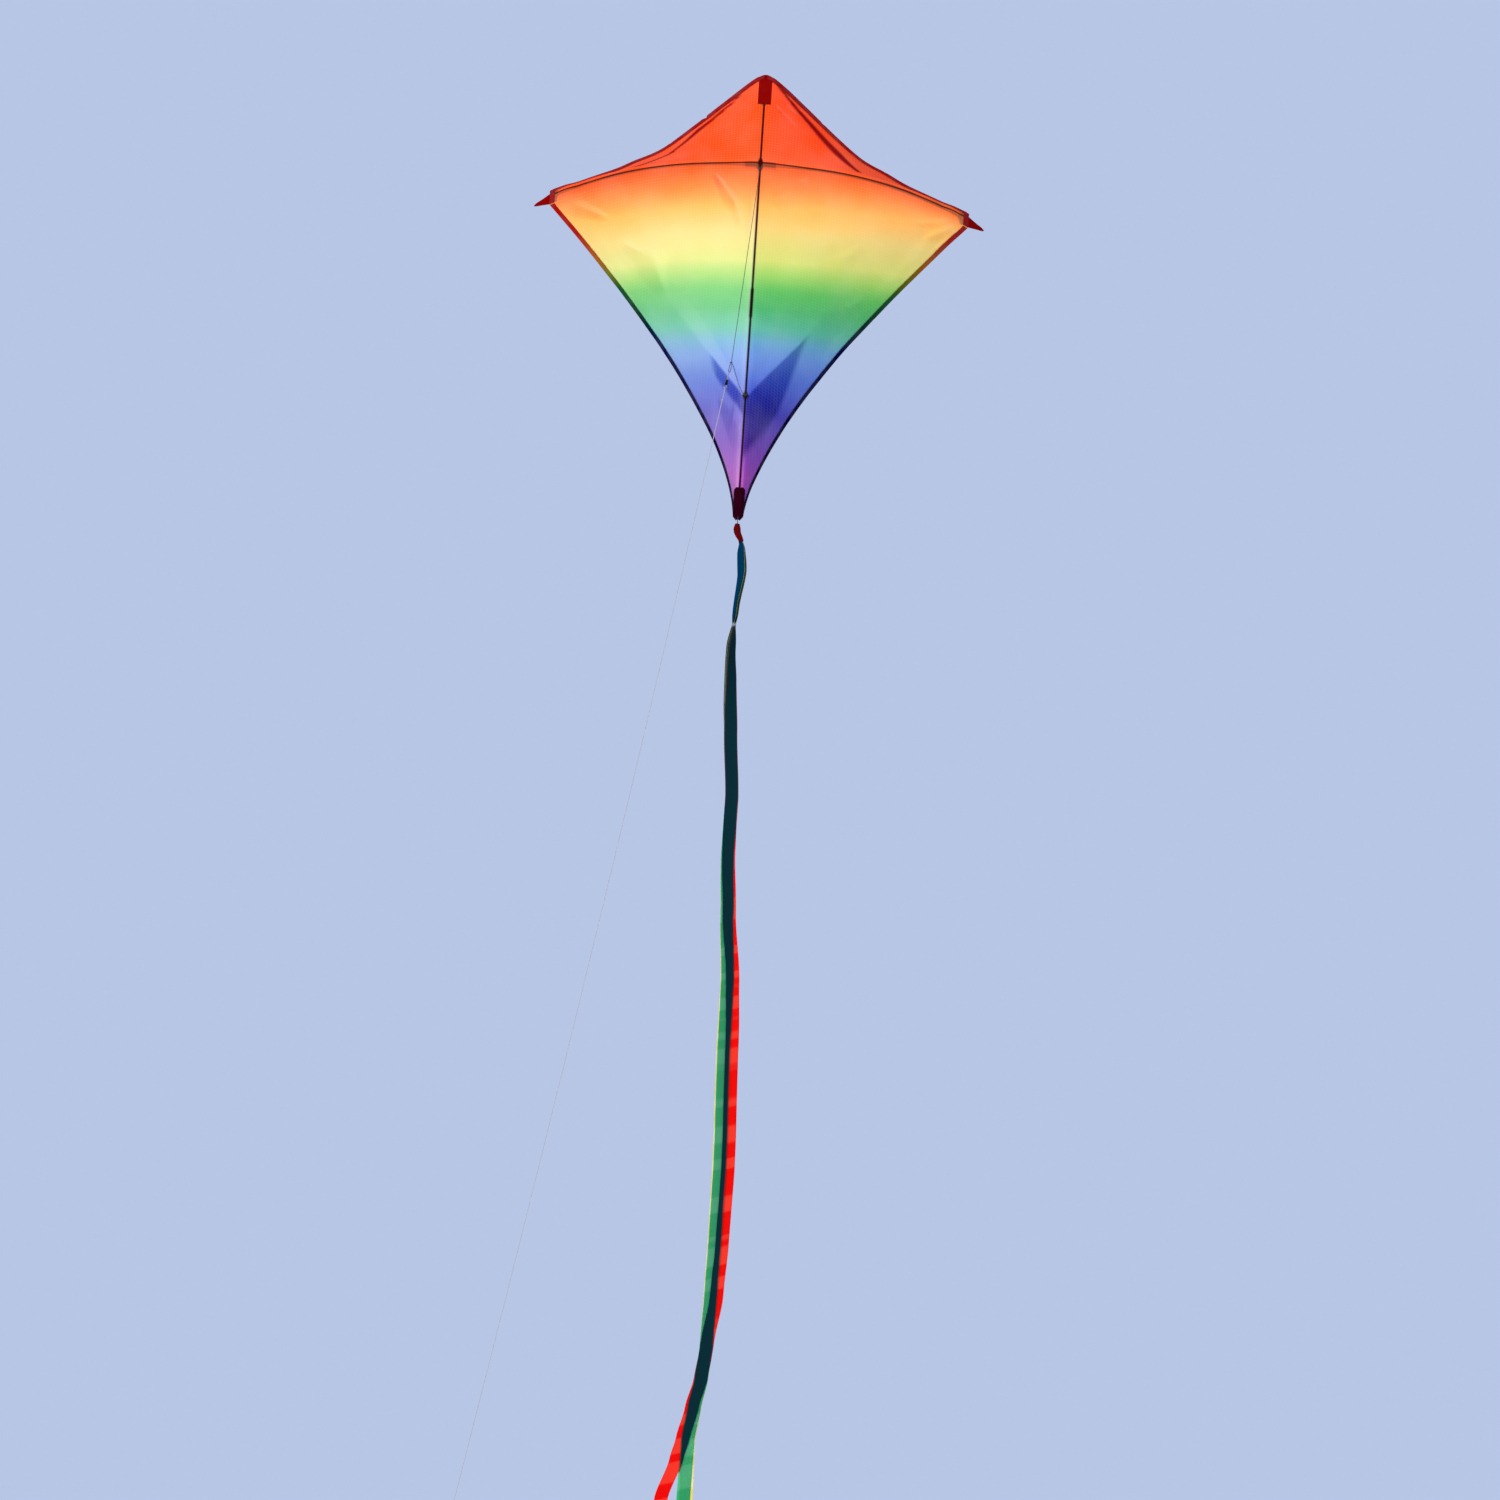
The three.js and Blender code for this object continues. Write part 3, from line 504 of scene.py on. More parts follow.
def knot_object(name, centre, size, thread, axis=Vector((0, 0, 1))):
    """A pulled-tight overhand knot of cord: a trefoil with its turns pressed together."""
    steps, sides = 72, 8
    turned = axis.to_track_quat("Z", "Y").to_matrix()

    def route(t):
        x = (math.sin(t) + 2 * math.sin(2 * t)) / 3
        y = (math.cos(t) - 2 * math.cos(2 * t)) / 3
        z = -math.sin(3 * t) * 0.55
        return Vector(centre) + turned @ Vector((x, y, z)) * size

    points = []
    for i in range(steps):
        t = math.tau * i / steps
        ahead = (route(t + 0.01) - route(t - 0.01)).normalized()
        side = ahead.cross(Vector((0.3, 0.2, 0.93))).normalized()
        other = ahead.cross(side)
        for k in range(sides):
            angle = math.tau * k / sides
            points.append(route(t) + (side * math.cos(angle) + other * math.sin(angle)) * thread)
    faces = grid_faces(steps, sides, closed=True)
    last = (steps - 1) * sides
    for k in range(sides):
        after = (k + 1) % sides
        faces.append((last + k, last + after, after, k))
    return mesh_object(name, points, faces)


def stitch_object(name, route, pitch=3.4, length=2.4, thread=0.17):
    """A row of sewn stitches along (point, outward) pairs spaced evenly over the cloth."""
    points, faces = [], []
    walked, due = 0.0, 0.0
    for (here, out), (there, _) in zip(route, route[1:]):
        step = (there - here).length
        while due < walked + step and step > 0:
            start = here.lerp(there, (due - walked) / step)
            ahead = (there - here) / step
            side = ahead.cross(out).normalized()
            first = len(points)
            for along, lift in ((0, -0.1), (0.18, 1), (0.5, 1.25), (0.82, 1), (1, -0.1)):
                middle = start + ahead * along * length + out * (lift * thread)
                points += [middle + side * thread, middle + out * thread, middle - side * thread,
                           middle - out * thread]
            faces += grid_faces(5, 4, first, closed=True)
            faces += [(first + 3, first + 2, first + 1, first),
                      tuple(first + 16 + k for k in range(4))]
            due += pitch
        walked += step
    return mesh_object(name, points, faces)


# ---- the sail's surface ----
def spar_point(q):
    run = max(0, q - SPAR_STRAIGHT) / (SPAR_REACH - SPAR_STRAIGHT)
    return Vector((q, SPAR_Y + SPAR_BOW * run ** SPAR_CURVE, 0))


def spar_angle(q):
    return math.atan2(spar_point(q + 0.5).y - spar_point(q - 0.5).y, 1)


def spar_arc(q):
    stops = [spar_point(q * i / 24) for i in range(25)]
    return sum((b - a).length for a, b in zip(stops, stops[1:]))


def span_point(q):
    """Where the cloth passes in front of the spar."""
    over_fitting = (SPAR_Y - SAIL_Y - SPAR_GAP) * math.exp(-((q / 50) ** 2))
    offset = SPAR_GAP + over_fitting + 3.1 * smooth(q, 305, 326)
    angle = spar_angle(q)
    return spar_point(q) + offset * Vector((math.sin(angle), -math.cos(angle), 0))


def leading_height(q):
    return NOSE_HEIGHT * (1 - spar_arc(q) / LEADING_RUN)


def upper_point(q, h):
    """Cloth above the spar, h measured up it: it rises past the spar, then leans back."""
    rise = RISE * smooth(q, 20, 80)
    leaning = clamp((q - LEAN_FROM) / (LEAN_TO - LEAN_FROM))
    lean = BLOW_BACK * math.sin(math.pi / 2 * leaning) ** 1.2
    beyond = max(0, h - rise)
    return span_point(q) + Vector((0, beyond * math.sin(lean),
                                   min(h, rise) + beyond * math.cos(lean)))


CORNER_POINT = span_point(CORNER)


def trailing_half(s):
    """The cloth's half width, s of the way from the spar to the tip."""
    curved = TIP_HALF + (CORNER_POINT.x - TIP_HALF) * (1 - s) ** TRAILING_CURVE
    return min(curved, 3 + 400 * (1 - s))


def lower_at(x, s):
    """Cloth below the spar, x out from the spine, s from the spar (0) to the tip (1)."""
    s = clamp(s)
    flat = min(FLAT, 0.6 * trailing_half(s))
    out = clamp((x - flat) / (trailing_half(s) - flat))
    edge = lerp(-14, CORNER_POINT.y, 1 - s ** 2.1)
    bowed = (span_point(lerp(FLAT, CORNER, out)).y - SAIL_Y) / (CORNER_POINT.y - SAIL_Y)
    shape = lerp(bowed, out ** 1.3, s)
    return Vector((x, SAIL_Y + (edge - SAIL_Y) * shape, lerp(LOWER_TOP, SAIL_TIP, s)))


def lower_point(q, s):
    half = trailing_half(s)
    flat = min(FLAT, 0.6 * half)
    x = q * flat / FLAT if q < FLAT else lerp(flat, half, (q - FLAT) / (CORNER - FLAT))
    return lower_at(x, s)


def beside(x, z, start, end):
    """How far (x, z) lies to the right of the line going from start to end, and its share along."""
    run = math.hypot(end[0] - start[0], end[1] - start[1])
    ahead_x, ahead_z = (end[0] - start[0]) / run, (end[1] - start[1]) / run
    aside = (x - start[0]) * ahead_z - (z - start[1]) * ahead_x
    along = ((x - start[0]) * ahead_x + (z - start[1]) * ahead_z) / run
    return aside, along


# Folds pulled in the cloth, each from (x, z) to (x, z): width above the line, width below it,
# height forwards, and how far in from its two ends the fold fades out, as shares of its length.
FOLDS = [
    ((6, -452), (172, -176), 30, 56, 7.0, 0.14, 0.35),
    ((-6, -452), (-148, -220), 22, 46, 4.0, 0.14, 0.3),
    ((-148, -220), (-184, -128), 22, 26, 3.5, 0.3, 0.4),
    ((64, -410), (14, -612), 18, 26, -4.0, 0.3, 0.3),
    ((-52, -424), (-12, -560), 16, 22, -3.5, 0.3, 0.3),
    ((-16, -456), (-22, -512), 8, 12, 2.5, 0.3, 0.4),
    ((192, -190), (154, -228), 10, 12, 3.0, 0.3, 0.3),
    ((-76, -20), (-30, -94), 11, 15, 5.0, 0.15, 0.3),
    ((-46, -58), (-24, -128), 8, 10, 2.6, 0.3, 0.4),
    ((-10, -60), (-11, -170), 6, 8, 1.6, 0.2, 0.3),
    ((82, -18), (30, -84), 12, 16, 4.5, 0.2, 0.3),
    ((60, -26), (22, -60), 7, 8, 2.4, 0.3, 0.3),
    ((184, -112), (122, -176), 14, 20, 3.0, 0.35, 0.4),
    ((120, -60), (66, -110), 12, 16, 2.2, 0.35, 0.4),
    ((284, -62), (336, -26), 7, 9, 3.5, 0.3, 0.2),
    ((262, -48), (326, -22), 6, 7, 2.4, 0.3, 0.2),
    ((298, -76), (340, -30), 6, 8, 2.6, 0.3, 0.2),
    ((-250, -70), (-322, -26), 10, 12, 3.0, 0.3, 0.3),
    ((-230, -110), (-170, -160), 12, 16, 2.0, 0.3, 0.4),
    ((16, 158), (168, 16), 4.5, 6.5, 1.8, 0.08, 0.12),
    ((-44, 143), (-160, 40), 4.5, 7.0, 1.2, 0.12, 0.15),
    ((-150, 44), (-246, 8), 4.0, 6.0, 1.0, 0.2, 0.2),
    ((16, 118), (56, 86), 5, 6, 1.8, 0.3, 0.4),
    ((24, 134), (70, 104), 4, 5, 1.4, 0.3, 0.4),
]


def fold_height(x, z):
    """How far the folds push the cloth forwards at (x, z)."""
    total = 0.0
    for start, end, above, below, height, near, far in FOLDS:
        aside, along = beside(x, z, start, end)
        if end[0] >= start[0]:
            aside = -aside
        width = above if aside > 0 else below
        if not -0.05 < along < 1.05 or abs(aside) > 2.2 * width:
            continue
        fade = smooth(along, -0.03, near) * (1 - smooth(along, 1 - far, 1.03))
        spread = width * lerp(0.35, 1.0, clamp(along * 1.6))
        tent = 1 - math.sqrt((aside / spread) ** 2 + 0.006) + 0.05
        total += height * fade * max(0.0, tent) ** 1.15
    return total


def slack(x, z):
    """Slow unevenness of the cloth between its fixed edges, and fine puckers."""
    away = smooth(abs(x), 6, 45) * smooth(abs(z + 4), 6, 40)
    wide = noise.noise(Vector((x / 90, z / 120, 3.1))) * 2.6
    fine = noise.noise(Vector((x / 24, z / 30, 8.4))) * 0.5
    return (wide + fine) * away


def curled(q):
    """1 along the outer stretch of a leading edge, which the wind has curled upwards."""
    return smooth(q, 165, 225) * (1 - smooth(q, 262, 325))


def laid(point, side=1):
    """The right wing's point moved to its side, with its folds, slackness and curl in it."""
    x, z = side * point.x, point.z
    inside = smooth(point.z, SAIL_TIP, SAIL_TIP + 60)
    forwards = (fold_height(x, z) + slack(x, z)) * inside * (1 - smooth(point.x, 325, 350))
    if abs(z) < 14:
        forwards = max(forwards, 0)
    curl = curled(point.x)
    if z > 0 and curl > 0:
        z += CURL_LIFT * curl * smooth(z / leading_height(point.x), 0.35, 0.65)
    return Vector((x, point.y - forwards, z))


def sail_at(x, z):
    """The cloth's middle surface at a height on or near the spine."""
    side = -1 if x < 0 else 1
    if z > 0:
        return laid(upper_point(abs(x), z), side)
    return laid(lower_at(abs(x), max(0, (LOWER_TOP - z) / (LOWER_TOP - SAIL_TIP))), side)


def behind(surface, a, b, distance):
    """A point of surface(a, b) moved off it, backwards where distance is positive."""
    step = 0.001
    along = surface(a + step, b) - surface(a - step, b)
    across = surface(a, b + 0.05) - surface(a, b - 0.05)
    normal = along.cross(across).normalized()
    if normal.y < 0:
        normal.negate()
    return surface(a, b) + normal * distance


# ---- sail ----
COLUMN_SHARES = [1 - (1 - i / 80) ** 1.08 for i in range(81)]
UPPER_SHARES = [1 - (i / 30) for i in range(30)]
LOWER_SHARES = [1 - (1 - i / 150) ** 1.06 for i in range(151)]


def rod_shadow(x, z):
    """Painted shadow: 1 where a rod, a ferrule, the fitting or a stop ring lies right behind the
    cloth.
    """
    spine_half = 2.4 if abs(z - SPINE_FERRULE_MIDDLE) < SPINE_FERRULE_HALF else 1.5
    spine = 1 - smooth(abs(x), spine_half - 0.5, spine_half + 0.7)
    if z > 166 or z < -673:
        spine = 0
    spar_half = 1.7 if abs(x) < SPAR_FERRULE_HALF else 1.25
    spar = 1 - smooth(abs(z - 1.2), spar_half - 0.5, spar_half + 0.9)
    fitting = 1 - smooth(math.hypot(x / 4.6, z / 9.5), 0.75, 1.1)
    rings = 1 - smooth(math.hypot(x / 5.4, (z - LOWER_TIE.z) / 6.0), 0.75, 1.15)
    return max(spine, 0.9 * spar, fitting, rings)


def wedge(x, z, side):
    """1 between the big fold that runs up from the lower tie and the one outside it."""
    x = side * x
    fold_top, middle, low = ((176, -170), (120, -300), (56, -448)) if side > 0 else \
        ((150, -214), (98, -306), (50, -424))
    under_fold, along = beside(x, z, (3, -452), fold_top)
    inside_high, _ = beside(x, z, middle, fold_top)
    inside_low, _ = beside(x, z, low, middle)
    inside_tip, _ = beside(x, z, (13, -604), low)
    from_fold = smooth(under_fold, -0.8, 1.6)
    from_edge = (1 - smooth(inside_high, 2, 9)) * (1 - smooth(inside_low, -8, 4)) \
        * (1 - smooth(inside_tip, -7, 4))
    return from_fold * from_edge * smooth(x, 0.5, 3) * smooth(z, -640, -560) \
        * (1 - smooth(along, 0.86, 1.0))


def crease_tilt(x, z):
    """How steeply the cloth's relief faces up and to the right."""
    step = 1.2

    def relief(a, b):
        return fold_height(a, b) + slack(a, b)

    up = relief(x, z + step) - relief(x, z - step)
    right = relief(x + step, z) - relief(x - step, z)
    return (0.75 * up + 0.65 * right) / (2 * step)


def painted_shade_at(x, z):
    """Painted shade: where the colour is deepened, on the flanks of the big folds and over the
    right half.
    """
    right = smooth(x, -1, 3) * lerp(0.04, 0.14, smooth(-z, 180, 420))
    flank = 1.0 * wedge(x, z, 1) + 0.7 * wedge(x, z, -1)
    return clamp(right + flank + 0.7 * max(0.0, crease_tilt(x, z)))


def painted_highlight_at(x, z):
    """Painted highlight: where the colour is paler, by the left of the spine and on the lit flanks
    of creases.
    """
    left = 0.14 * (1 - smooth(x, -3, 1)) * smooth(-z, 60, 160) * (1 - 0.9 * wedge(x, z, -1))
    strip = 0.1 * smooth(x, -15, -3) * (1 - smooth(x, -2.5, -1.5)) * smooth(-z, 30, 90)
    return clamp(left + strip + 0.25 * max(0.0, -crease_tilt(x, z)), 0, 0.3)


# Narrow tucks where the leading edge's cloth folds over itself: two ends, then the half width
# at each end.
TUCKS = [((16, 160), (80, 106), 1.8, 6.0), ((80, 106), (128, 58), 6.0, 9.0),
         ((128, 58), (166, 17), 9.0, 4.0), ((-44, 142), (-110, 92), 1.8, 5.5),
         ((-110, 92), (-160, 40), 5.5, 2.6), ((-150, 46), (-215, 15), 2.4, 4.0)]


def tuck(x, z):
    """1 on a tuck, where three layers of cloth lie together and the colour is painted darker as
    shade.
    """
    most = 0.0
    for start, end, first, last in TUCKS:
        aside, along = beside(x, z, start, end)
        half = lerp(first, last, clamp(along))
        run = math.hypot(end[0] - start[0], end[1] - start[1])
        past = max(0.0, -along, along - 1) * run
        most = max(most, 1 - smooth(math.hypot(aside, past), half * 0.4, half * 1.3))
    return most


def spine_ruled(columns):
    """Signed columns, left wing first, with close ones over the spine for its shadow."""
    right = sorted({0.8, 1.6, 2.4, 3.2, 4.2, *columns})
    return [-q for q in reversed(right) if q > 0] + right


def add_sail():
    columns = spine_ruled([CORNER * share for share in COLUMN_SHARES])
    rows = []
    for share in UPPER_SHARES:
        rows.append([laid(upper_point(abs(q), share * leading_height(abs(q))), math.copysign(1, q))
                     for q in columns])
    for height in (4.2, 3.2, 2.2, 1.2, 0.2, -0.8):
        rows.append([laid(upper_point(abs(q), max(0, min(height, 0.03 * leading_height(abs(q)))))
                          + Vector((0, 0, min(0, height))), math.copysign(1, q)) for q in columns])
    for share in LOWER_SHARES:
        rows.append([laid(lower_point(abs(q), share), math.copysign(1, q)) for q in columns])
    # Point values that paint light into the sail's colour: rod shadows, shade on fold flanks
    # (depth), highlights (paler) and shade on the tucks.
    shadow = [[rod_shadow(p.x, p.z) for p in row] for row in rows]
    depth = [[painted_shade_at(p.x, p.z) for p in row] for row in rows]
    paler = [[painted_highlight_at(p.x, p.z) for p in row] for row in rows]
    tucks = [[tuck(p.x, p.z) if p.z > 0 else 0.0 for p in row] for row in rows]
    sail = sheet_object("sail_cloth", rows, SAIL_THICK, {"painted_rod_shadow": shadow, "depth": depth,
                                                         "paler": paler, "tuck": tucks})
    return own(sail, "kite", "sail", "sail")


# ---- hems, folded round the sail's edges ----
# Sections through a hem, as (in from the edge, behind the sail).
FLAT_HEM = [(HEM_WIDTH, HEM_BACK - 0.15), (7.4, HEM_BACK), (4.2, HEM_BACK), (1.0, HEM_BACK - 0.05),
            (0.0, 0.75), (-0.5, 0.1), (0.0, -0.5), (1.0, HEM_FRONT), (4.2, HEM_FRONT),
            (7.4, HEM_FRONT), (HEM_WIDTH, HEM_FRONT + 0.12)]
ROLLED_HEM = [(8.0, 0.8), (6.4, 1.4), (4.4, 2.2), (2.2, 2.3), (0.4, 1.4), (-0.3, -0.2),
              (0.1, -2.0), (1.5, -3.4), (3.4, -3.7), (5.3, -2.8), (6.9, -1.4), (8.0, HEM_FRONT)]


def leading_surface(side):
    return lambda q, b: laid(upper_point(q, leading_height(q) - b), side)


def trailing_surface(side):
    def surface(share, b):
        s = clamp(share)
        return laid(lower_at(trailing_half(s) - b * trailing_slant(round(s, 4)), s), side)
    return surface


@functools.lru_cache(maxsize=None)
def trailing_slant(s):
    """How far x goes in for each millimetre of hem, measured square to the edge in the cloth."""
    half = trailing_half(s)
    inward = lower_at(half - 1, s) - lower_at(half, s)
    edge = lower_at(trailing_half(s + 0.01), s + 0.01) - lower_at(trailing_half(s - 0.01), s - 0.01)
    square = inward - edge * (inward.dot(edge) / edge.length_squared)
    return min(1 / max(square.length, 0.4), 0.7 * half / HEM_WIDTH)


def corner_surface(side):
    """The short end of the sail at a wing tip: a goes up it, b in from it."""
    def surface(a, b):
        q = CORNER - b
        z = lerp(LOWER_TOP, leading_height(q), clamp(a))
        if z > 0:
            return laid(upper_point(q, z), side)
        return laid(lower_point(q, 0).lerp(span_point(q), 1 - z / LOWER_TOP), side)
    return surface


def add_hem(label, slot, surface, alongs, thread, section, *nodes):
    """Folded cloth over both faces of an edge, with a row of stitches on each face."""
    rows = [[behind(surface, a, b, off) for b, off in section] for a in alongs]
    hem = own(sheet_object(f"{label}_cloth", rows, TAPE_THICK), "kite", slot, *nodes)
    made = [hem]
    for face, (inward, place) in (("front", section[-2]), ("back", section[1])):
        distance = place + math.copysign(0.22, place)
        sign = math.copysign(1, place)
        route = []
        for a in alongs:
            point = behind(surface, a, inward, distance)
            out = (behind(surface, a, inward, distance + sign) - point).normalized()
            route.append((point, out))
        row = stitch_object(f"{label}_stitches_{face}", route)
        made.append(own(row, "kite", slot, material=thread))
    return made


def add_hems():
    made = []
    leading = [1.5 + (CORNER - 3) * i / 90 for i in range(91)]
    trailing = [0.002 + 0.97 * i / 110 for i in range(111)]
    for side, label in ((-1, "left"), (1, "right")):
        node = f"leading_hem_{label}"
        made += add_hem(node, "hem_red", leading_surface(side), leading, THREAD_RED, ROLLED_HEM,
                        node)
        node = f"trailing_hem_{label}"
        made += add_hem(node, "hem_rainbow", trailing_surface(side), trailing, THREAD_DARK,
                        FLAT_HEM, node)
        made += add_hem(f"corner_hem_{label}", "hem_red", corner_surface(side),
                        [i / 12 for i in range(13)], THREAD_RED, FLAT_HEM)
    return made


# ---- pockets at the spine's ends ----
def pocket_seam(front, half_at, mouth, fold):
    """The stitched line down both sides of a spine pocket and across its mouth."""
    corner = lerp(mouth, fold, 0.78)
    legs = [((-1, corner), (-1, mouth)), ((-1, mouth), (1, mouth)), ((1, mouth), (1, corner))]
    route = []
    for (side_a, z_a), (side_b, z_b) in legs:
        for i in range(16):
            side = lerp(side_a, side_b, i / 15)
            z = lerp(z_a, z_b, i / 15)
            if z_a == z_b or z == mouth:
                z += math.copysign(SEAM_INSET, fold - mouth)
            point = front(side * (half_at(z) - SEAM_INSET), z)
            route.append((point + Vector((0, -0.2, 0)), Vector((0, -1, 0))))
    return route


def add_spine_pocket(label, slot, thread, ends, half_at, over, bulge_at):
    """A patch folded over the sail's end: flat in front, bulged over the spine behind.

    ends are the heights of its mouth and its fold, half_at its half width, over how far past the
    sail it folds, and bulge_at how much it bulges at a height."""
    mouth, fold = ends
    shares = [i / 16 - 1 for i in range(33)]
    heights = [lerp(mouth, fold, 1 - (1 - i / 20) ** 1.4) for i in range(21)]

    def front(x, z):
        return sail_at(x, z) + Vector((0, PATCH_FRONT, 0))

    def back(x, z):
        bulge = POCKET_BULGE * bulge_at(z) * math.exp(-((x / 4.3) ** 4))
        return sail_at(x, z) + Vector((0, PATCH_BACK + bulge, 0))

    rows = [[front(t * half_at(z), z) for t in shares] for z in heights]
    rows.append([sail_at(t * half_at(fold), fold) + Vector((0, 0.2, over)) for t in shares])
    rows += [[back(t * half_at(z), z) for t in shares] for z in reversed(heights)]
    patch = own(sheet_object(f"{label}_cloth", rows, TAPE_THICK), "kite", slot, label)
    seam = stitch_object(f"{label}_stitches", pocket_seam(front, half_at, mouth, fold), 2.8, 2.0)
    return [patch, own(seam, "kite", slot, material=thread)]


def add_pockets():
    def nose_half(z):
        return max(1.2, min(11.2, (NOSE_HEIGHT + 1.0 - z) * 2.3))

    def tail_half(z):
        s = (LOWER_TOP - z) / (LOWER_TOP - SAIL_TIP)
        return min(9.2, trailing_half(min(1, s)) + 0.4)

    nose = add_spine_pocket("nose_pocket", "pocket_red", THREAD_RED, (115, 171.5), nose_half, 1.0,
                            lambda z: 1 - smooth(z, 168.4, 171.4))
    tail = add_spine_pocket("tail_pocket", "pocket_maroon", THREAD_DARK, (-626, -686), tail_half,
                            -0.6, lambda z: smooth(z, -681, -676))
    return nose + tail


# The sleeves' outline: distance along, top, bottom, swell over the rod.
SLEEVE_PROFILE = [
    (4, 12, -13, 3.4), (5, 12.5, -13.5, 3.5), (14, 12, -12, 3.5), (24, 10, -10, 3.5),
    (34, 7.6, -7.8, 3.3), (43, 5.3, -5.6, 3.0), (50, 3.7, -4, 2.4), (55, 2.5, -2.8, 1.6),
    (59, 1.5, -1.7, 0.7), (61, 0.9, -1, 0.2),
]


def add_wing_tip_pocket(side, label):
    """Pointed sleeve of cloth over the spar's end: full over the rod, flat above and below it."""
    start = spar_point(SLEEVE_START)
    ahead = (spar_point(SPAR_REACH) - start).normalized()
    outward = Vector((ahead.y, -ahead.x, 0))
    rings = []
    for along, top, bottom, swell in SLEEVE_PROFILE:
        ring = []
        for i in range(32):
            angle = math.tau * i / 32
            height = lerp(bottom, top, (1 + math.sin(angle)) / 2)
            half = 0.5 + swell * math.exp(-((height / 4.3) ** 4)) + 0.25 * math.cos(2 * angle)
            wrinkle = 0.1 * math.sin(along * 0.8 + height)
            point = start + ahead * along + outward * (math.cos(angle) * (half + wrinkle))
            ring.append(Vector((side * point.x, point.y, point.z + height)))
        rings.append(ring)
    sleeve = tube_object(f"wing_tip_sleeve_{label}", rings, capped=-1)
    thicken(sleeve, TAPE_THICK, -side)
    return own(sleeve, "kite", "pocket_red", f"wing_tip_pocket_{label}")


# ---- ties, bridle and flying line ----
def add_tie(label, centre):
    """Cord hitched round the spine, brought out through the sail and knotted in front of it."""
    right = [(0.65, -18.6), (1, -16.8), (2.4, -14.2), (2.95, -11.2), (1.9, -9)]
    round_spine = right + [(0, -8.45)] + [(-x, y) for x, y in reversed(right)]
    loop = cord_curve(f"{label}_loop", [(x, y, centre.z) for x, y in round_spine], BRIDLE_CORD,
                      closed=True)
    own(loop, "kite", "bridle_cord", label)
    knot = knot_object(f"{label}_knot", centre, 1.9, 0.8, Vector((0, 1, 0)))
    own(knot, "kite", "bridle_cord")


LOWER_LEG = [
    (-24.2, -93.4, -431.9), (-22.6, -90.6, -434), (-20.9, -86.3, -437.1), (-19.2, -81.2, -440.3),
    (-17.5, -75.8, -443.3), (-15.8, -70.2, -446), (-14.1, -64.4, -448.4), (-12.4, -58.5, -450.4),
    (-10.7, -52.5, -452), (-8.9, -46.4, -453.1), (-7.1, -40.4, -453.7), (-5.3, -34.5, -453.6),
    (-3.6, -29.2, -452.8), (-2, -25, -451.6), (-0.8, -22, -450.5),
]
FLYING_LINE = [
    (0, 0, -80.3), (0.4, 0.3, -120), (1.4, 1, -260), (2.7, 1.9, -420), (3.9, 2.7, -580),
    (4.8, 3.4, -740), (5.5, 3.9, -900), (5.9, 4.2, -1060), (6, 4.3, -1220), (5.9, 4.2, -1380),
    (5.5, 3.9, -1540), (4.8, 3.4, -1700), (3.9, 2.7, -1860), (2.7, 1.9, -2020), (1.4, 1, -2180),
    (0.4, 0.3, -2290), (0, 0, -2332),
]


def on_line(place):
    """A place given along the flying line's own axes, in the kite's frame."""
    return BRIDLE_KNOT + LINE_MATRIX @ Vector(place)


def add_bridle():
    down = (BRIDLE_KNOT - UPPER_TIE).normalized()
    upper = [(UPPER_TIE + down * 2.1).lerp(BRIDLE_KNOT - down * 2.6, i / 14) for i in range(15)]
    upper_leg = own(cord_curve("upper_leg_cord", upper, BRIDLE_CORD), "bridle", "bridle_cord",
                    "bridle_upper_leg")
    lower_leg = own(cord_curve("lower_leg_cord", LOWER_LEG, BRIDLE_CORD), "bridle",
                    "bridle_cord", "bridle_lower_leg")
    knot = knot_object("bridle_knot_turns", BRIDLE_KNOT, 1.55, 0.62, down)
    own(knot, "bridle", "bridle_cord", "bridle_knot")


def add_flying_line():
    line = own(cord_curve("flying_line_cord", [on_line(p) for p in FLYING_LINE], FLYING_CORD),
               "line", "line_cord", "flying_line")
    for label, along in (("line_knot", -78), ("line_end_knot", -2334.6)):
        knot = knot_object(f"{label}_turns", on_line((0, 0, along)), 1.5, 0.62,
                           LINE_MATRIX @ Vector((0, 0, 1)))
        own(knot, "line", "line_cord", label)


# ---- tail ----
TURN = [(-727, 120), (-787, 118), (-864, 104), (-925, 61), (-991, 40), (-1085, 4), (-1300, -6),
        (-1700, 8), (-2100, -5), (-2800, 6)]
SIDEWAYS = [(-700, 0), (-727, 8), (-787, 13), (-864, 6.5), (-925, 2), (-991, 4), (-1085, 11),
            (-1216, 20), (-1322, 20), (-1430, 26), (-1551, 36), (-1662, 39), (-1901, 45),
            (-2048, 44), (-2139, 42), (-2225, 36), (-2285, 30), (-2340, 20), (-2395, 11),
            (-2434, 7), (-2505, -3), (-2650, -14), (-2800, -22)]
DEPTH = [(-700, 0), (-900, 6), (-1300, -8), (-1800, 10), (-2300, -6), (-2800, 8)]
SPREAD = [(-727, 0), (-1216, 0), (-1430, 2), (-1551, 4.5), (-1662, 7), (-1901, 7.3), (-2048, 6.5),
          (-2139, 5.2), (-2225, 0.6), (-2285, -0.6), (-2340, -2.2), (-2395, -4.7), (-2434, -9),
          (-2505, -20), (-2650, -27), (-2800, -31)]
# label, place in the bundle from the front, share of the spread, lower end
RIBBONS = [("red", 0, 1.0, -2760), ("green", 1, -0.82, -2745), ("yellow", 2, -1.05, -2700),
           ("blue", 3, -0.6, -2390)]


def bundle_wave(z):
    """The ripple that all the ribbons share."""
    grown = smooth(-z, 760, 1000)
    return grown * (1.6 * math.sin(z / 47) + 0.9 * math.sin(z / 19 + 1.3))


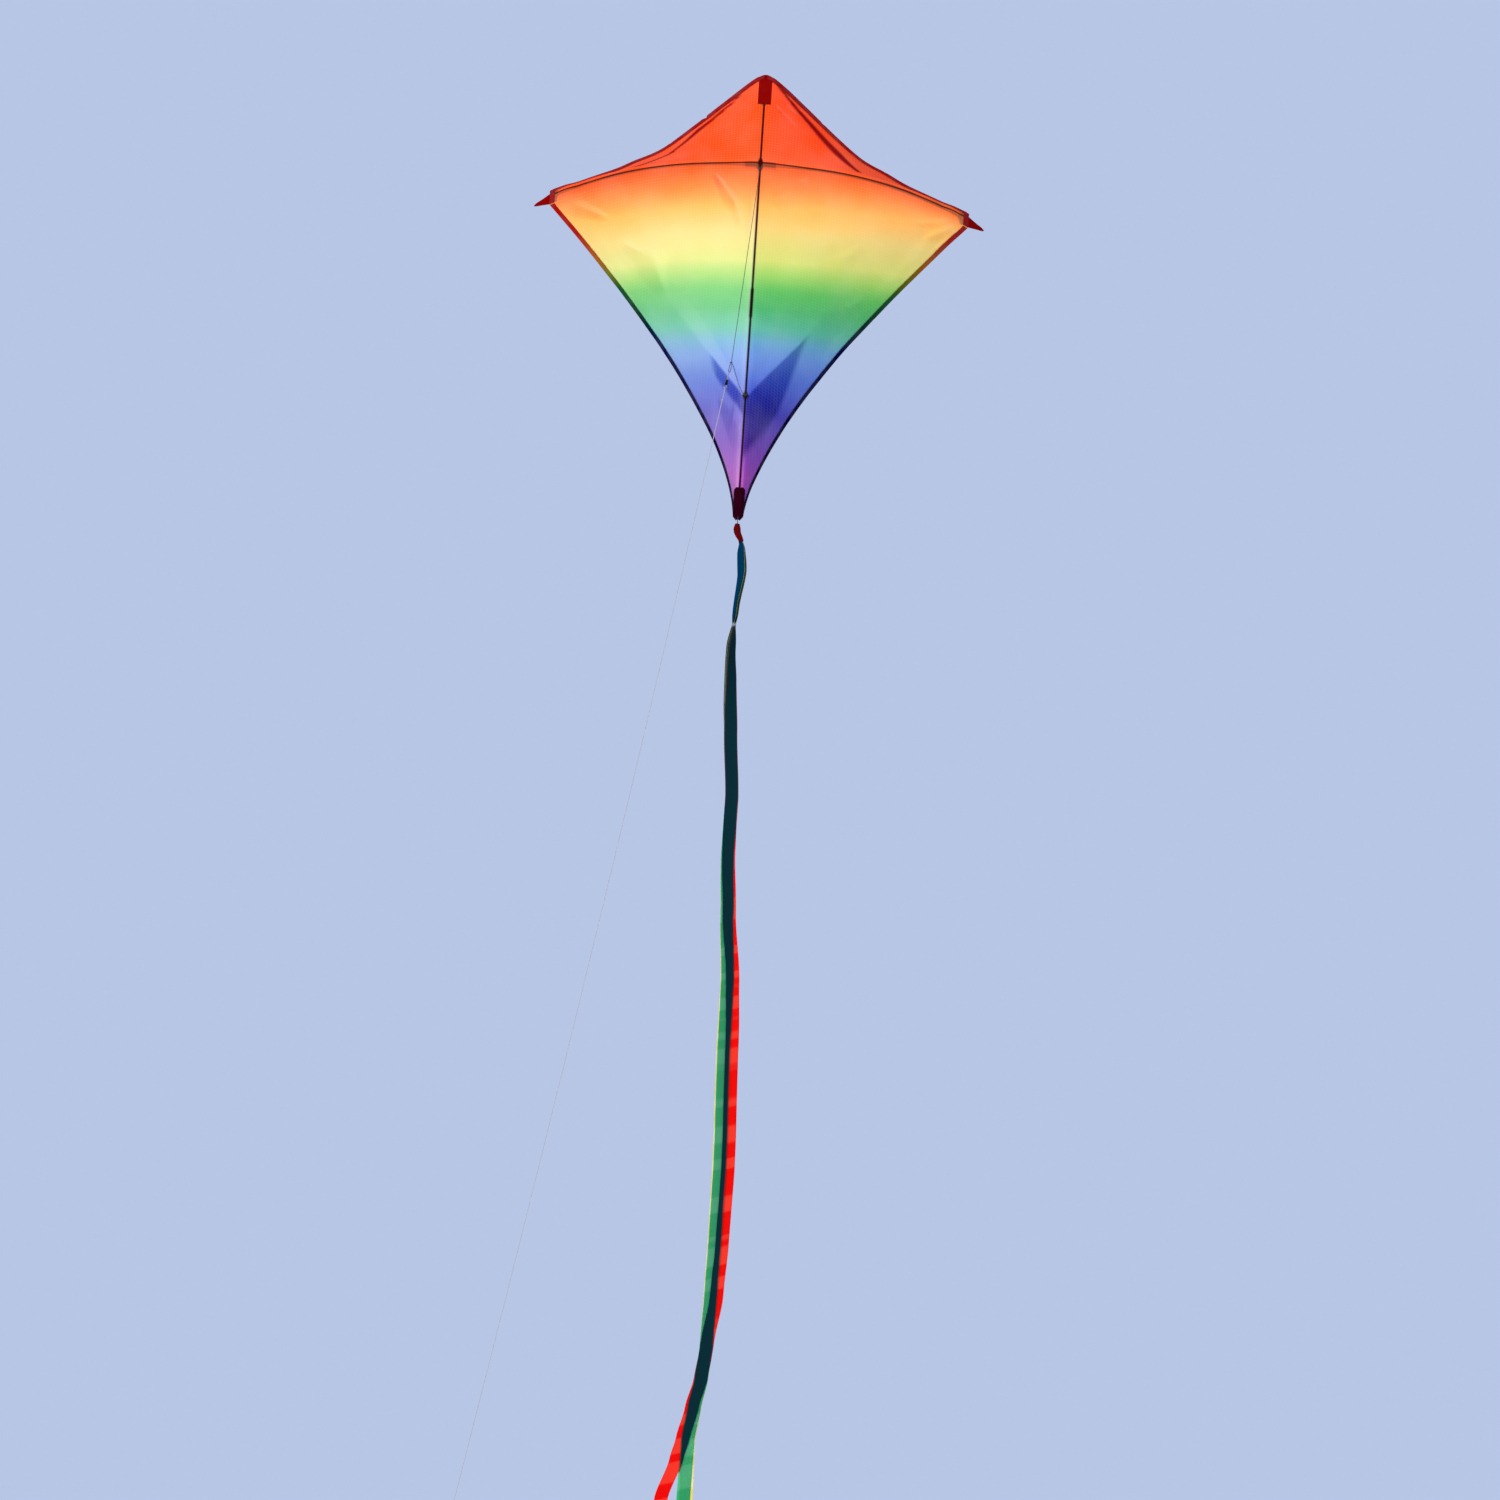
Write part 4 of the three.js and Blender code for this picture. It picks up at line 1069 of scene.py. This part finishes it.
def turned_off(centre, along, depth, turn):
    """A point beside and behind a centre, in axes turned about the vertical."""
    return centre + Vector((along * math.cos(turn) - depth * math.sin(turn),
                            along * math.sin(turn) + depth * math.cos(turn), 0))


def ribbon_point(t, layer, share, z):
    turn = math.radians(follow(TURN, z))
    width = RIBBON_WIDTH * lerp(0.42, 1, smooth(-z, 726, 745))
    along = t * width + share * follow(SPREAD, z)
    cup = 0.35 * math.cos(math.pi * t)
    pitch = RIBBON_PITCH * lerp(0.25, 1, smooth(-z, 729, 775))
    depth = (layer - 1.5) * pitch + bundle_wave(z) + cup * smooth(-z, 735, 780)
    centre = Vector((follow(SIDEWAYS, z), TAIL_Y + follow(DEPTH, z), z))
    return turned_off(centre, along, depth, turn)


def overlap_shade(t, share, z):
    """Painted shade: 1 where another ribbon of the bundle lies against this part of the ribbon."""
    spread = follow(SPREAD, z)
    place = t * RIBBON_WIDTH + share * spread
    other = -spread if share > 0 else spread
    return 1 - smooth(abs(place - other) - RIBBON_WIDTH / 2, -0.4, 0.4)


def add_ribbon(label, layer, share, end):
    count = round((RIBBON_HELD - end) / 7)
    heights = [lerp(RIBBON_HELD, end, i / count) for i in range(count + 1)]
    across = [i / 16 - 0.5 for i in range(17)]
    rows = [[ribbon_point(t, layer, share, z) for t in across] for z in heights]
    layers = [[overlap_shade(t, share, z) for t in across] for z in heights]
    ribbon = own(sheet_object(f"ribbon_{label}_cloth", rows, RIBBON_THICK, {"layers": layers}),
                 "tail", f"ribbon_{label}", f"tail_ribbon_{label}")


def add_tail_tab():
    """Folded cloth tab: it hangs on the link by its eye and grips the ribbons' tops."""
    rings = []
    sides = 28
    for i in range(29):
        z = lerp(TAB_EYE + 2.8, TAB_BOTTOM - 1.5, i / 28)
        turn = math.radians(follow(TURN, z) - 180) * smooth(-z, 702, 727)
        centre = Vector((follow(SIDEWAYS, z) * smooth(-z, 700, 727), TAIL_Y, z))
        closed = 0.35 if i == 0 else 1.0
        half = lerp(3.4, 5.6, smooth(-z, 693, 705)) * closed
        thick = lerp(0.75, 1.75, smooth(-z, 702, 724)) * closed
        ring = []
        for k in range(sides):
            angle = math.tau * k / sides
            along = half * math.copysign(abs(math.cos(angle)) ** 0.8, math.cos(angle))
            depth = thick * math.copysign(abs(math.sin(angle)) ** 0.7, math.sin(angle))
            depth += 0.2 * math.sin(2.1 * along + 0.6 * z) * smooth(-z, 702, 708)
            ring.append(turned_off(centre, along, depth, turn))
        rings.append(ring)
    tab = own(tube_object("tail_tab_cloth", rings, capped=0), "tail", "tab_cloth", "tail_tab")
    thicken(tab, TAB_THICK, -1)
    cut_hole(tab, Vector((0, TAIL_Y, TAB_EYE)), 1.5)


def cut_hole(piece, centre, radius):
    """A round hole through the piece from front to back."""
    ring = [math.tau * i / 24 for i in range(24)]
    points = [centre + Vector((radius * math.cos(a), y, radius * math.sin(a)))
              for y in (-6, 6) for a in ring]
    punch = mesh_object("punch", points, grid_faces(2, 24, closed=True)
                        + [tuple(reversed(range(24))), tuple(range(24, 48))])
    cutter = piece.modifiers.new("hole", "BOOLEAN")
    cutter.object = punch
    cutter.operation = "DIFFERENCE"
    cutter.solver = "EXACT"
    ready = piece.evaluated_get(bpy.context.evaluated_depsgraph_get())
    solid = bpy.data.meshes.new_from_object(ready)
    piece.modifiers.clear()
    piece.data = solid
    bpy.data.objects.remove(punch)


# ---- finishes of the CAD nodes that stay ----
def rounding():
    """Geometry nodes that shade a mesh smooth, except across its sharp edges."""
    group = bpy.data.node_groups.new("smooth_but_sharp", "GeometryNodeTree")
    group.interface.new_socket("Geometry", in_out="INPUT", socket_type="NodeSocketGeometry")
    group.interface.new_socket("Geometry", in_out="OUTPUT", socket_type="NodeSocketGeometry")
    nodes, links = group.nodes, group.links
    start, end = nodes.new("NodeGroupInput"), nodes.new("NodeGroupOutput")
    faces = nodes.new("GeometryNodeSetShadeSmooth")
    faces.domain = "FACE"
    edges = nodes.new("GeometryNodeSetShadeSmooth")
    edges.domain = "EDGE"
    edges.inputs["Shade Smooth"].default_value = False
    angle = nodes.new("GeometryNodeInputMeshEdgeAngle")
    sharp = nodes.new("FunctionNodeCompare")
    sharp.operation = "GREATER_THAN"
    sharp.inputs[1].default_value = math.radians(50)
    links.new(angle.outputs[0], sharp.inputs[0])
    links.new(sharp.outputs[0], edges.inputs["Selection"])
    links.new(start.outputs[0], faces.inputs[0])
    links.new(faces.outputs[0], edges.inputs[0])
    links.new(edges.outputs[0], end.inputs[0])
    return group


KEPT_NODES = {
    "fibre_rod": ["spine_upper", "spine_lower", "cross_spar_left", "cross_spar_right"],
    "ferrule": ["spine_ferrule", "cross_spar_ferrule"],
    "vinyl": ["spine_top_cap", "spine_bottom_cap", "spar_cap_left", "spar_cap_right",
              "centre_cross_fitting", "stop_ring_upper", "stop_ring_lower"],
    "bridle_cord": ["tow_loop", "tail_link"],
    "snap_steel": ["snap_hook", "snap_gate", "line_eye"],
    "swivel_black": ["swivel_barrel"],
    "line_cord": ["line_hitch", "line_end_loop"],
}


def finish_kept_nodes():
    group = rounding()
    for slot, names in KEPT_NODES.items():
        for name in names:
            node = bpy.data.objects[name]
            for material_slot in node.material_slots:
                material_slot.material = MATERIALS[slot]
            node.modifiers.new("rounding", "NODES").node_group = group


# ---- studio ----
def add_floor():
    """A plain pale floor far below, as under a kite in flight."""
    size = 400
    height = -18.0
    mesh = bpy.data.meshes.new("floor")
    corners = [(x * size, y * size, height) for x, y in ((-1, -1), (1, -1), (1, 1), (-1, 1))]
    mesh.from_pydata(corners, [], [(0, 1, 2, 3)])
    floor = bpy.data.objects.new("floor", mesh)
    graph = Graph("floor_pale")
    shade = graph.mix(graph.noise(0.4), srgb(206, 210, 220), srgb(214, 217, 226))
    floor.data.materials.append(graph.finish(graph.add("BsdfPrincipled", Base_Color=shade,
                                                       Roughness=0.9)))
    scene.collection.objects.link(floor)


def add_light(name, place, size, power, colour):
    data = bpy.data.lights.new(name, "AREA")
    data.shape = "DISK"
    data.size = size
    data.energy = power
    data.color = colour
    light = bpy.data.objects.new(name, data)
    light.location = place
    aim = Vector((0, 0, -0.6)) - Vector(place)
    light.rotation_euler = aim.to_track_quat("-Z", "Y").to_euler()
    scene.collection.objects.link(light)


def add_studio():
    world = bpy.data.worlds.new("sky")
    world.use_nodes = True
    backdrop = world.node_tree.nodes["Background"]
    backdrop.inputs["Color"].default_value = srgb(184, 198, 230)
    backdrop.inputs["Strength"].default_value = 1.0
    scene.world = world
    scene.view_settings.view_transform = "Standard"
    add_light("light_behind", (1.2, 9.4, 3.6), size=2.4, power=2350, colour=(1.0, 0.97, 0.9))
    add_light("light_front", (-5.0, -8.0, -1.0), size=4.0, power=320, colour=(1.0, 0.97, 0.92))
    add_floor()


# ---- putting it together ----
add_camera()
add_bridle()
add_flying_line()
sail = add_sail()
trimmings = add_hems() + add_pockets()
for side, label in ((-1, "left"), (1, "right")):
    trimmings.append(add_wing_tip_pocket(side, label))
add_tie("upper_bridle_tie", UPPER_TIE)
add_tie("lower_bridle_tie", LOWER_TIE)
add_tail_tab()
for ribbon in RIBBONS:
    add_ribbon(*ribbon)
finish_kept_nodes()
add_studio()
